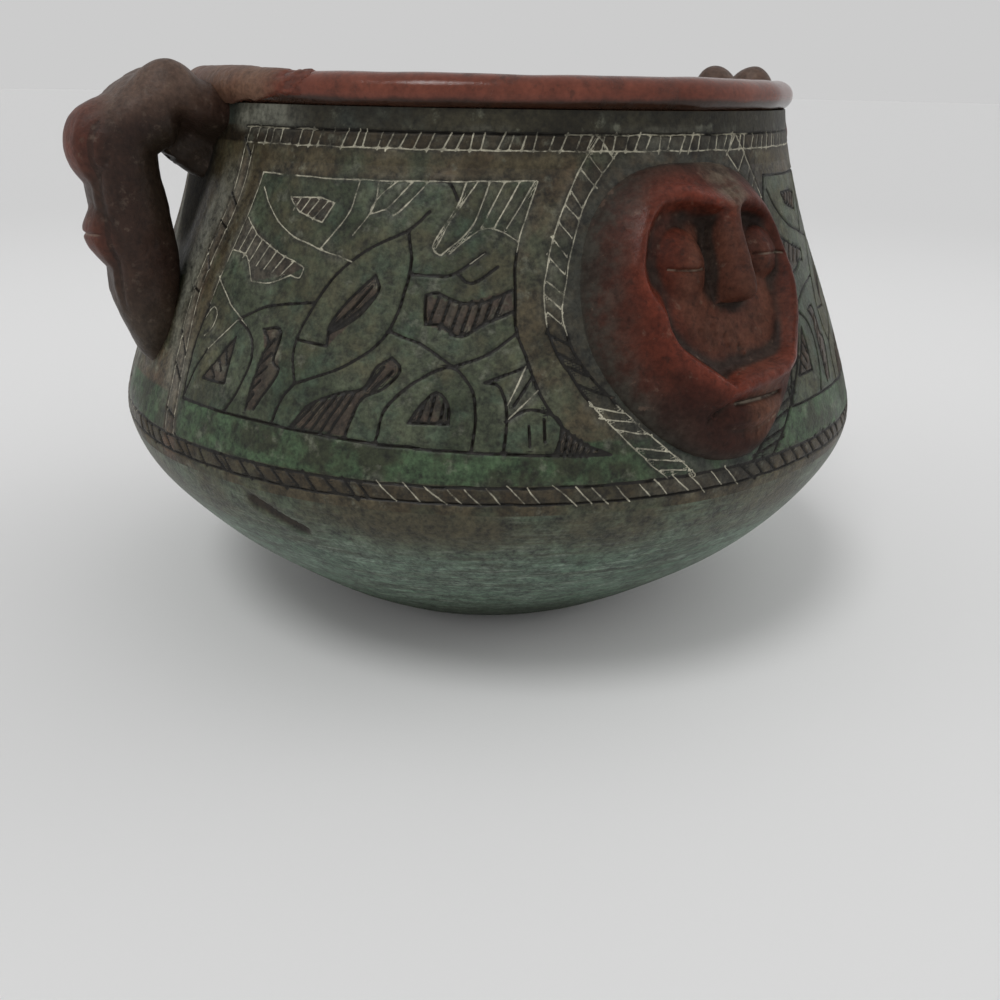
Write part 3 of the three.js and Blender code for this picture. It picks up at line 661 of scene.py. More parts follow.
def within(points, line):
    """Whether each point lies inside a closed line."""
    x, y = points[..., 0], points[..., 1]
    result = np.zeros(x.shape, bool)
    for (ax, ay), (bx, by) in zip(line, np.roll(line, -1, axis=0)):
        crosses = (ay > y) != (by > y)
        if ay != by:
            result ^= crosses & (x < (bx - ax) * (y - ay) / (by - ay) + ax)
    return result


# Body pieces

# Closed outlines beside a mask: the painted field and the patches rubbed with brown
FIELD = [
    (-70.5, 128.3), (-45.5, 128), (-25.2, 128.6), (-28.4, 114), (-28.6, 98.5), (-25.5, 84.5), (-22, 76.5),
    (-17.5, 72.4), (-34, 73.5), (-61.5, 75.3), (-77.2, 75.5), (-77.5, 88), (-76.3, 97.5), (-74.8, 107.5),
]
PATCHES = [
    [(-63.8, 123.5), (-58, 123.7), (-55.6, 122.8), (-57.3, 118.7), (-61.7, 120.3)],
    [
        (-72.5, 118), (-64.5, 111.5), (-59.4, 108.9), (-61.4, 107), (-68.6, 104.4), (-70.6, 109.6),
        (-74.2, 110.5),
    ],
    [(-40.6, 104.8), (-35.8, 103.5), (-29.2, 106.2), (-28.8, 102.1), (-35.8, 96.8), (-40.4, 99.1)],
    [(-68.9, 91.9), (-73.8, 81.5), (-69, 81.6)],
    [(-64.2, 94.8), (-61.2, 95.1), (-60.2, 86.4), (-63.1, 77.5), (-64.4, 77), (-63, 90)],
    [(-56.8, 75.8), (-55.1, 80.3), (-47.8, 85.3), (-44.4, 92), (-43.2, 89.6), (-48.1, 82.7), (-49.4, 75.1)],
    [(-41.6, 79.1), (-38.4, 85.6), (-36.7, 79.3)],
    [(-23.2, 78.5), (-18.5, 72.8), (-24.3, 72.8)],
    [(-47.8, 108.4), (-51.5, 102.7), (-53.6, 97.6), (-53.7, 93.1), (-49.7, 99.8), (-47.2, 105.3)],
]

# Heights, and how many degrees from a handle its shade reaches at each
ARCH_SHADE = ((80, 95, 107, 115, 121, 127, 134, 140), (6, 4, 3, 4.5, 6.5, 8, 8, 11))
ARCH_TURN = 3.5


def field_values(turn, height):
    """What the wall's colour follows: margin, patches, and the painted shade, soot, dust, painted light and
    dirt beside other pieces.
    """
    degrees = np.degrees(turn) % QUARTER - QUARTER
    spot = np.stack(np.broadcast_arrays(degrees, height), axis=-1)
    patch = np.any([within(spot, np.array(line)) for line in PATCHES], axis=0)

    # Painted shade with soot under the arch, dust with painted light on the neck, and rust beside a handle
    past_handle = np.degrees(turn) % (2 * QUARTER) - QUARTER
    from_handle = np.abs(past_handle) + 0 * height
    reach = np.interp(height, *ARCH_SHADE)
    from_arch = from_handle - reach
    shaded = np.abs(past_handle + ARCH_TURN) - reach
    # Painted shade, with some soot, on the wall under each handle's arch
    shade = smoothstep(1.5, -1.5, shaded) * smoothstep(104, 116, height) * smoothstep(136, 131, height)
    on_arch = smoothstep(-0.5, 1.5, from_arch) * smoothstep(9, 3, from_arch)
    on_arch = on_arch * smoothstep(66, 84, height) * smoothstep(133, 124, height)
    # Dust on the neck beside each handle, painted lighter as painted light where the handle's shadow falls
    on_neck = smoothstep(9, 13, from_handle) * smoothstep(30, 18, from_handle) * smoothstep(136, 139, height)
    band = np.interp(height, *np.array(HANDLE_BAND)[::-1].T[::-1])

    # Grime round a mask
    from_mask = (np.degrees(turn) + QUARTER) % (2 * QUARTER) - QUARTER
    across = np.radians(from_mask) * outer_radius(MASK_HEIGHT) + 0 * height
    up = height - MASK_HEIGHT + 0 * turn
    share = outline_share(across / mask_half_width(across, up), up / MASK_HALF_HEIGHT)
    return {
        "margin": 1.0 - within(spot, np.array(FIELD)),
        "patch": 1.0 * patch,
        "shade": shade,
        "dusty": np.maximum(on_arch, on_neck),
        "rust": smoothstep(0.9, 0.2, np.abs(from_handle - band - BAND_TURN / 2) - BAND_TURN / 2),
        "beside": smoothstep(1.3, 1.02, share),
    }


def inner_point(turn, z):
    """The inside of the wall, with the marks of fingers drawn round it."""
    marks = 0.3 * np.sin(z / 1.9 + 0.8 * np.sin(turn * 2))
    marks = marks * smoothstep(6, 20, z) * (1 - smoothstep(128, 140, z))
    return wall_point(turn, z, -WALL + marks)


def heights_between(low, high, step):
    run = np.interp([low, high], OUTLINE[:, 1], OUTLINE_RUN)
    places = np.linspace(*run, int((run[1] - run[0]) / step) + 1)
    return np.interp(places, OUTLINE_RUN, OUTLINE[:, 1])


def shell(name, turns, low, high, step, inner_step, wrap):
    """A closed stretch of the wall between two heights, all the way round or for part of a turn."""
    columns = len(turns)
    outer_z = heights_between(low, high, step)
    inner_z = heights_between(low, high, inner_step)
    outer = wall_point(turns[None, :], outer_z[:, None])
    inner = inner_point(turns[None, :], inner_z[:, None])
    start = outer.shape[0] * columns
    points = np.vstack([outer.reshape(-1, 3), inner.reshape(-1, 3)])
    outward = wall_point(turns[None, :], outer_z[:, None], 1.0) - outer
    outward = np.vstack([outward.reshape(-1, 3), np.zeros((len(inner_z) * columns, 3))])
    outer_faces = grid_faces(len(outer_z), columns, wrap)
    inner_faces = grid_faces(len(inner_z), columns, wrap, start)[:, ::-1]
    c = np.arange(columns if wrap else columns - 1)
    following = (c + 1) % columns
    top_out = (len(outer_z) - 1) * columns
    top_in = start + (len(inner_z) - 1) * columns
    top = np.column_stack([top_out + c, top_out + following, top_in + following, top_in + c])
    bottom = np.column_stack([start + c, start + following, following, c])
    faces = [outer_faces, inner_faces, top, bottom]
    if not wrap:
        for column in (0, columns - 1):
            up = np.arange(len(outer_z)) * columns + column
            down = (start + np.arange(len(inner_z)) * columns + column)[::-1]
            side = np.concatenate([up, down])
            faces.append((side if column == 0 else side[::-1])[None, :])
    values = {"outward": outward, "inside": np.arange(len(points)) >= start}
    for key, value in field_values(turns[None, :], outer_z[:, None]).items():
        values[key] = np.concatenate([value.ravel(), np.zeros(len(points) - start)])
    return make_object(name, points, faces, values=values)


def rim_surface(turn, angle, out=0.0):
    """A point on the rolled rim, at an angle round its section from straight out."""
    lean = out_of_round(turn, NECK_HEIGHT)
    uneven = 0.16 * np.sin(7 * turn + 1.3) + 0.1 * np.sin(17 * turn + 0.4) + 0.06 * np.sin(31 * turn)
    radius = RIM_RADIUS + lean + (RIM_HALF_WIDTH + uneven + out) * np.cos(angle)
    height = RIM_HEIGHT + (RIM_HALF_THICKNESS + 0.6 * uneven + out) * np.sin(angle)
    return np.stack(np.broadcast_arrays(radius * np.sin(turn), -radius * np.cos(turn), height), axis=-1)


def rim_coil():
    angles = np.linspace(-RIM_SEAT, math.pi + RIM_SEAT, RIM_ROWS)
    points = rim_surface(full_turn(RIM_COLUMNS)[None, :], angles[:, None])
    points[0, :, 2] = NECK_HEIGHT
    points[-1, :, 2] = NECK_HEIGHT
    c = np.arange(RIM_COLUMNS)
    following = (c + 1) % RIM_COLUMNS
    last = (len(angles) - 1) * RIM_COLUMNS
    seat = np.column_stack([last + c, last + following, following, c])
    thing = make_object("rim_coil", points.reshape(-1, 3), [grid_faces(len(angles), RIM_COLUMNS, True), seat])
    thing.data.set_sharp_from_angle(angle=RIM_SHARP)
    return thing


def base_disc():
    """A slab that is flat below and a little dished above."""
    columns = BOWL_COLUMNS
    turns = full_turn(columns)
    edge = wall_point(turns, np.zeros(columns))
    inside = inner_point(turns, np.zeros(columns))
    halfway = np.array([0.5, 0.5, 0.0])
    half_above = inside * halfway + [0, 0, inside[0, 2] - DISC_DIP_HALFWAY]
    centre = np.array([[0, 0, 0], [0, 0, inside[0, 2] - DISC_DIP]])
    points = np.vstack([edge * halfway, edge, inside, half_above, centre])
    c = np.arange(columns)
    following = (c + 1) % columns
    below = np.column_stack([np.full(columns, 4 * columns), following, c])
    above = np.column_stack([np.full(columns, 4 * columns + 1), 3 * columns + c, 3 * columns + following])
    thing = make_object("base_disc", points, [grid_faces(4, columns, True), below, above])
    thing.data.set_sharp_from_angle(angle=DISC_SHARP)
    return thing


# Pads and lumps laid on a grid

# How deep an applied piece is bedded, and how far the clay under it is sunk to clear it
BEDDED = 0.5
SUNK_UNDER = 0.8

# The type of an array that holds names of pieces
PIECE_NAME = "<U12"


def grid_normals(points, wrap=False):
    """Outward normals of a grid of points, from its neighbours."""
    if wrap:
        around = np.roll(points, -1, axis=1) - np.roll(points, 1, axis=1)
    else:
        around = np.gradient(points, axis=1)
    normal = np.cross(around, np.gradient(points, axis=0))
    return normal / np.maximum(np.linalg.norm(normal, axis=-1, keepdims=True), 1e-9)


def lump(name, top, under, cells, normals, values, wrap=False):
    """A closed lump over some cells of a grid: its face, its back and a wall round its edge."""
    rows, columns = top.shape[:2]
    quads = grid_faces(rows, columns, wrap)[cells.ravel()]
    used, local = np.unique(quads, return_inverse=True)
    local = local.reshape(-1, 4)
    count = len(used)
    points = np.vstack([top.reshape(-1, 3)[used], under.reshape(-1, 3)[used]])
    edges = np.vstack([local[:, [i, (i + 1) % 4]] for i in range(4)])
    keys = edges[:, 0] * count + edges[:, 1]
    lone = edges[~np.isin(keys, edges[:, 1] * count + edges[:, 0])]
    sides = np.column_stack([lone[:, 1], lone[:, 0], lone[:, 0] + count, lone[:, 1] + count])
    face_normals = normals.reshape(-1, 3)[used][local].reshape(-1, 3)
    plain = np.zeros(((len(local) + len(sides)) * 4, 3))
    kept = {key: np.tile(value.ravel()[used], 2) for key, value in values.items()}
    faces = [local, local[:, ::-1] + count, sides]
    return make_object(name, points, faces, np.vstack([face_normals, plain]), kept)


def turned(points, turn):
    """Points turned about the vessel's axis."""
    c, s = math.cos(turn), math.sin(turn)
    return points @ np.array([[c, s, 0], [-s, c, 0], [0, 0, 1.0]])


# Masks, on a grid of (across, up) from the middle of the mask

MASK_HEIGHT = 100.0
MASK_HALF_WIDTH = 33.4
MASK_HALF_HEIGHT = 32.0
MASK_RISE = 8.8
MASK_FULLNESS = 2.8
MASK_TAPER_LEFT = 0.14
MASK_TAPER_RIGHT = 0.4
MASK_TAPER_FROM = 5.0
MASK_EDGE = 1.05
MASK_STEPS = 216
MASK_BACK = 1.5
HOLLOW_CELLS = 8
CREST_OUT = 8.7
RIDGE_HALF_WIDTH = 3.5
FACE_FLOOR = 3.7
TEMPLE_UP = 9.2

# The crest round the face, from the root of the nose to the point over the mouth
LEFT_CREST = [
    (6.5, 23.6), (2.5, 24.4), (-1.7, 25.4), (-6.2, 26.7), (-10.4, 27.1), (-15, 26.4), (-18.3, 24.3),
    (-20.6, 21.3), (-22.3, 18.3), (-23.4, 15), (-23.8, 11), (-22.4, 6), (-19.9, 2.3), (-18.5, -1.7),
    (-16, -5.7), (-11.8, -9.1), (-8, -11.8), (-4.7, -14.2),
]
RIGHT_CREST = [
    (6.5, 23.6), (9.5, 25), (13.4, 25.8), (20.2, 24.2), (25, 21.2), (26.8, 16.8), (27.3, 12), (26.4, 7),
    (23.4, 1), (18.8, -6), (15.6, -9.6), (12.5, -11.2), (8, -11.9), (3.1, -12.5), (-0.3, -13), (-4.7, -14.2),
]
VALLEY_OFF = 5.2
VALLEY_WIDTH = 2

# Ovals are their middle and half sizes
LEFT_EYE = (-9.4, 11, 7.2, 7.8)
RIGHT_EYE = (19.2, 11.9, 6.9, 6)
SLIT_DEPTH = 0.85
LID_SLIT = 0.4
MOUTH_SLIT = 0.45
LEFT_LID = [(-14.2, 10.5), (-9, 10.2), (-3.8, 10.1)]
RIGHT_LID = [(14, 12), (19.5, 12), (26, 11.5)]
NOSE_TOP = 23.5
NOSE_TIP = 7.0
NOSE_END = 2.4
NOSE_TOP_ACROSS = 6.6
NOSE_TIP_ACROSS = 3.8
NOSE_BRIDGE_OUT = 8.6
NOSE_TIP_OUT = 11.7
MOUTH = [(-3.4, -18), (2.6, -17.9), (9.1, -18.1), (12, -18)]
CHIN = (1.5, -20.8, 11.5, 3.6)
CHIN_RISE = 1.7
CHIN_TOP = -16
CHIN_EDGE = [(22, -15.5), (16.5, -20.8), (10, -23.6), (4, -24.8)]
CHIN_CREASE = [(-9.2, -21.6), (-5.7, -23.4), (-1.4, -24.4), (3.6, -24.4), (9, -22.6)]
FACE_PITS = ((-7.6, -3.2), (-0.8, -4.7), (-4.2, -2.2), (3.5, -7.5))


def outline_share(x, y):
    """The mask's outline is fuller above its middle than the oval below it."""
    full = np.where(y > 0, MASK_FULLNESS, 2.0)
    return (np.abs(x) ** full + np.abs(y) ** full) ** (1 / full)


def mask_half_width(across, up):
    taper = np.where(across < 0, MASK_TAPER_LEFT, MASK_TAPER_RIGHT)
    return MASK_HALF_WIDTH * (1 - taper * smoothstep(-MASK_TAPER_FROM, MASK_HALF_HEIGHT, -up))


def mask_grid():
    """A square grid laid out over the mask and a little beyond its edge."""
    line = np.linspace(-1, 1, MASK_STEPS)
    x, y = np.meshgrid(line, line)
    u = x * np.sqrt(1 - y**2 / 2)
    v = y * np.sqrt(1 - x**2 / 2)
    reach = np.hypot(u, v) / np.maximum(outline_share(u, v), 1e-9) * MASK_EDGE
    up = v * reach * MASK_HALF_HEIGHT
    return u * reach * mask_half_width(u, up), up


def oval(across, up, centre):
    x, y, half_width, half_height = centre
    return np.hypot((across - x) / half_width, (up - y) / half_height)


def blend_over(low, high, soft):
    """The higher of two surfaces with the corner between them rounded."""
    gap = np.clip(0.5 + 0.5 * (high - low) / soft, 0, 1)
    return low * (1 - gap) + high * gap + soft * gap * (1 - gap)


def bump_at(across, up, x, y, wide, high=None):
    return np.exp(-(((across - x) / wide) ** 2) - ((up - y) / (high or wide)) ** 2)


def face_floor(across, up):
    """The bottom of the hollow face, with deeper sockets beside the nose and under the brows."""
    floor = FACE_FLOOR + 0.6 * smoothstep(6, -2, up) + 0.25 * np.sin(across / 6 + 1) * np.sin(up / 8)
    floor = floor - 2.4 * bump_at(across, up, -0.6, 13, 2.8, 8) - 1.3 * bump_at(across, up, -7, 20.5, 6, 3)
    return floor - 1.3 * bump_at(across, up, 11.5, 13, 2.6, 8) - 2.2 * bump_at(across, up, 18, 20, 7, 2.4)


def mask_relief(across, up, seed):
    """How far the mask stands out of the wall, its plain ground, the piece at each place, and its looks."""
    spot = np.stack([across, up], axis=-1)

    def from_line(points):
        return distance_to(spot, catmull(points, CREASE_STEPS))

    share = outline_share(across / mask_half_width(across, up), up / MASK_HALF_HEIGHT)
    loaf = MASK_RISE * np.clip(1 - share**2.6, 0, None) ** 0.6
    loaf = loaf * (1 - 0.1 * smoothstep(-9, -18, up))
    left = catmull(LEFT_CREST, CREST_STEPS)
    right = catmull(RIGHT_CREST, CREST_STEPS)
    to_left = distance_to(spot, left)
    to_right = distance_to(spot, right)
    to_crest = np.minimum(to_left, to_right)
    is_left = to_left < to_right
    is_face = within(spot, np.vstack([left, right[::-1]]))

    # Hollow face inside a rounded ridge, with a shallow valley outside it over the brows
    floor = np.minimum(face_floor(across, up), loaf)
    inner_run = 2.3 + 3.7 * smoothstep(-6, 9, up)
    ground = np.where(is_face, loaf + (floor - loaf) * smoothstep(0.3, inner_run, to_crest), loaf)
    crest_out = CREST_OUT + 1.3 * smoothstep(-4, -14, up)
    broad = np.where(is_left, 2.9 + 2.2 * smoothstep(16, 2, up), 2.9)
    reach = np.where(is_face, 1.5 + 1.2 * smoothstep(-9, 3, up), broad)
    crest = np.clip(crest_out - loaf, 0, None) * hill(to_crest, reach)
    valley = hill(to_crest - VALLEY_OFF, VALLEY_WIDTH) * ~is_face * smoothstep(6, 16, up)
    relief = ground + (crest - valley) * smoothstep(0, 0.3, 1 - share)

    # Nose, a rounded wedge that widens and stands out towards its tip
    down = np.clip((NOSE_TOP - up) / (NOSE_TOP - NOSE_TIP), 0, 1)
    half_width = 4.8 + 0.4 * smoothstep(0, 1, down)
    axis = NOSE_TOP_ACROSS + (NOSE_TIP_ACROSS - NOSE_TOP_ACROSS) * down
    nose_q = np.abs(across - axis) / half_width
    end = np.clip((NOSE_TIP - up) / (NOSE_TIP - NOSE_END), 0, 1)
    nose_out = NOSE_BRIDGE_OUT + (NOSE_TIP_OUT - NOSE_BRIDGE_OUT) * smoothstep(0.05, 1, down)
    nose = floor + (nose_out - floor) * np.clip(1 - nose_q**2.4, 0, 1) ** 0.9 * (1 - end**2) ** 0.7
    is_nose = (nose_q < 1) & (up < NOSE_TOP) & (up > NOSE_END)
    relief = np.where(is_nose, blend_over(relief, nose, 1.6), relief)

    # Eyes, each a pellet with a slit pressed across it under a fuller upper lid
    eye_q = np.minimum(oval(across, up, LEFT_EYE), oval(across, up, RIGHT_EYE))
    lid = 3.4 + 0.8 * smoothstep(9.5, 12, up) - 0.5 * smoothstep(9, 4, up)
    eye = FACE_FLOOR - 0.9 + swell(eye_q, lid, 0.62)
    is_eye = (eye_q < 1) & ~is_nose & is_face & (to_crest > 2.2)
    relief = np.where(is_eye, blend_over(relief, eye, 0.9), relief)
    slit = np.zeros(across.shape)
    for line, width in ((LEFT_LID, LID_SLIT), (RIGHT_LID, LID_SLIT), (MOUTH, MOUTH_SLIT)):
        slit = np.maximum(slit, hill(from_line(line), width))
    relief = relief - SLIT_DEPTH * slit

    # Mouth under the crest, with the chin below it
    chin_q = oval(across, up, CHIN)
    relief = relief + swell(chin_q, CHIN_RISE, 1)
    relief = relief - 0.35 * hill(from_line(MOUTH), 1.4)
    relief = relief - 0.6 * hill(from_line(CHIN_CREASE), 1.6)
    relief = relief - 0.7 * bump_at(across, up, -8, -20, 3, 2) + 0.6 * bump_at(across, up, -8.5, -16.6, 1.1)

    # Pits and crumbs in the lower face, and the unevenness of fingers
    for x, y in FACE_PITS:
        relief = relief - 0.6 * bump_at(across, up, x, y, 0.8)
        relief = relief + 0.55 * bump_at(across, up, x + 0.7, y - 1.0, 0.7)
    deep = np.stack([across, up, 0 * up + seed], axis=-1)
    uneven = 0.3 * waves(deep, 15, seed) + 0.09 * waves(deep, 4.5, seed + 1)
    relief = relief + uneven * smoothstep(0, 0.2, 1 - share) - 8.0 * np.clip(share - 1, 0, None)
    ground = np.minimum(ground, relief)

    rubbed = 0.85 * hill(from_line(CHIN_EDGE), 0.5)
    # The shine is a painted highlight on the crest, fullest on the left where the light falls, over redder
    # burnished clay
    gloss = np.where(is_left, 1.0, 0.45 + 0.4 * smoothstep(-6, -11, up))
    shine = hill(to_crest, 2.8) * gloss * (0.55 + 0.45 * np.abs(smoothstep(-8, 8, up) * 2 - 1))
    looks = {"slit": np.maximum(slit, rubbed), "shine": shine, "edge": share}
    is_ridge = to_crest < RIDGE_HALF_WIDTH
    piece = np.full(across.shape, "dome", dtype=PIECE_NAME)
    for side, belongs in (("left", is_left), ("right", ~is_left)):
        piece[is_ridge & belongs & (up >= TEMPLE_UP)] = f"brow_{side}"
        piece[is_ridge & belongs & (up < TEMPLE_UP)] = f"cheek_{side}"
    piece[(chin_q < 1) & (up < CHIN_TOP)] = "chin"
    piece[is_eye & (across < axis)] = "eye_left"
    piece[is_eye & (across > axis)] = "eye_right"
    piece[is_nose] = "nose"
    return relief, ground, piece, looks


def mask_point(across, up, out, middle):
    turn = across / outer_radius(MASK_HEIGHT)
    height = MASK_HEIGHT + up
    radius = outer_radius(height) + out_of_round(turn + middle, height)
    point = np.stack([radius * np.sin(turn), -radius * np.cos(turn) - out, height], axis=-1)
    return turned(point, middle)


def blurred(values, steps):
    """Values of a grid, softened over so many cells."""
    size = 2 * steps + 1
    for axis in (0, 1):
        padded = np.pad(values, [(steps, steps) if i == axis else (0, 0) for i in (0, 1)], mode="edge")
        total = np.cumsum(np.insert(padded, 0, 0, axis=axis), axis=axis)
        take = np.arange(values.shape[axis])
        values = (np.take(total, take + size, axis) - np.take(total, take, axis)) / size
    return values


def buried(applied, wrap=False):
    """Points of a grid whose cells all lie under an applied piece."""
    beside = np.roll(applied, 1, axis=1) if wrap else np.pad(applied, ((0, 0), (1, 0)))
    applied = applied if wrap else np.pad(applied, ((0, 0), (0, 1)))
    both = applied & beside
    return np.pad(both, ((0, 1), (0, 0))) & np.pad(both, ((1, 0), (0, 0)))


def mask(name, middle, seed, materials):
    across, up = mask_grid()
    relief, ground, piece, looks = mask_relief(across, up, seed)
    top = mask_point(across, up, relief, middle)
    normals = grid_normals(top)
    soft = blurred(blurred(relief, HOLLOW_CELLS), HOLLOW_CELLS)
    values = {"hollow": soft - relief, "across": across, "up": up, **looks}
    of_cell = piece[:-1, :-1]
    sunk = np.where(buried(of_cell != "dome"), ground - SUNK_UNDER, relief)
    dome_top = mask_point(across, up, sunk, middle)
    back = mask_point(across, up, np.full(across.shape, -MASK_BACK), middle)
    everywhere = np.ones(of_cell.shape, bool)
    dome = lump(f"mask_{name}_dome", dome_top, back, everywhere, normals, values)
    place(dome, materials["mask"], "mask_clay", f"mask_{name}_dome")
    under = mask_point(across, up, ground - BEDDED, middle)
    for part in sorted(set(of_cell.ravel()) - {"dome"}):
        thing = lump(f"mask_{name}_{part}", top, under, of_cell == part, normals, values)
        place(thing, materials["mask"], "face_clay", f"mask_{name}_{part}")


# Handles, built on +X and turned to their side

LOOP_GAP = 11.0
STRAP_THICKNESS = 16.0
STRAP_WIDTH = 22.0
STRAP_ROWS = 280
STRAP_COLUMNS = 170
STRAP_SQUARENESS = 2.5
KEEL = 0.6
KNOB_OUT = 95.5
KNOB_ASIDE = 8.2
KNOB_HALF_DEPTH = 9
KNOB_HALF_WIDTH = 8.4
KNOB_SETTLE = 0.9
RIGHT_KNOB_TOPS = (155.4, 155.4)
LEFT_KNOB_TOPS = (150.2, 152.3)
TOP_ROWS = 60
BROW_HEIGHT = 134.0
BROW_HALF_WIDTH = 10.5
BROW_HALF_HEIGHT = 11
BROW_RISE = 5.4
LIP_HEIGHT = 113.2
LIP_HALF_WIDTH = 8.6
LIP_HALF_HEIGHT = 8.4
LIP_DROP = 1.4
LIP_OUT = 95
LIP_RISE = 3.9
LIP_SLIT = 0.45
PIT_HEIGHT = 130
PIT_OUT = 5.2
PIT_HALF = 0.8
PIECE_EDGE = 0.25

# Place up the wall, stand-off from it, thickness and width, as shares of the full sizes
STRAP_STATIONS = [
    (0.915, -0.25, 1.45, 1.0),
    (0.925, 0.05, 1.48, 1.08),
    (0.945, 0.3, 1.3, 1.2),
    (0.975, 0.57, 1.08, 1.28),
    (0.96, 0.88, 1.06, 1.23),
    (0.89, 1.11, 0.95, 1.09),
    (0.78, 1.02, 1, 1),
    (0.667, 0.79, 1.03, 0.95),
    (0.543, 0.53, 1.03, 0.86),
    (0.42, 0.32, 0.92, 0.73),
    (0.32, 0.07, 0.7, 0.59),
    (0.26, -0.09, 0.57, 0.41),
    (0.2, -0.27, 0.3, 0.25),
]


def strap_line():
    """Centre (out, height) with half thickness and half width along the strap, at even steps."""
    stations = []
    for up, off, thick, wide in STRAP_STATIONS:
        height = SHOULDER_HEIGHT + up * (NECK_HEIGHT - SHOULDER_HEIGHT)
        out = outer_radius(height) + off * (LOOP_GAP + STRAP_THICKNESS / 2)
        stations.append((out, height, thick * STRAP_THICKNESS / 2, wide * STRAP_WIDTH / 2))
    line = catmull(stations, STATION_STEPS)
    run = run_along(line[:, :2])
    places = np.linspace(0, run[-1], STRAP_ROWS)
    return np.column_stack([np.interp(places, run, line[:, i]) for i in range(4)])


def strap_surface(line):
    """The strap's plain surface, which way it faces, and how far round to the outer face each point is."""
    run = np.gradient(line[:, :2], axis=0)
    run /= np.linalg.norm(run, axis=1)[:, None]
    face = np.column_stack([-run[:, 1], run[:, 0]])
    angle = full_turn(STRAP_COLUMNS)
    power = 2 / STRAP_SQUARENESS
    side = np.sign(np.cos(angle)) * np.abs(np.cos(angle)) ** power
    front = np.sign(np.sin(angle)) * np.abs(np.sin(angle)) ** power
    thick, wide = line[:, 2:3], line[:, 3:4]
    out = line[:, :1] + face[:, :1] * thick * front
    height = line[:, 1:2] + face[:, 1:2] * thick * front
    root = smoothstep(98, 89, line[:, :1]) * (np.arange(len(line))[:, None] < len(line) / 3)
    narrow = 1 - KEEL * root * smoothstep(0.2, -0.35, front)
    base = np.stack([out, wide * side * narrow, height], axis=-1)
    slope = np.hypot(side / wide, front / thick)
    ahead, beside = front / thick / slope, side / wide / slope
    push = np.stack([face[:, :1] * ahead, beside, face[:, 1:2] * ahead], axis=-1)
    return base, push, front[None, :] + 0 * out


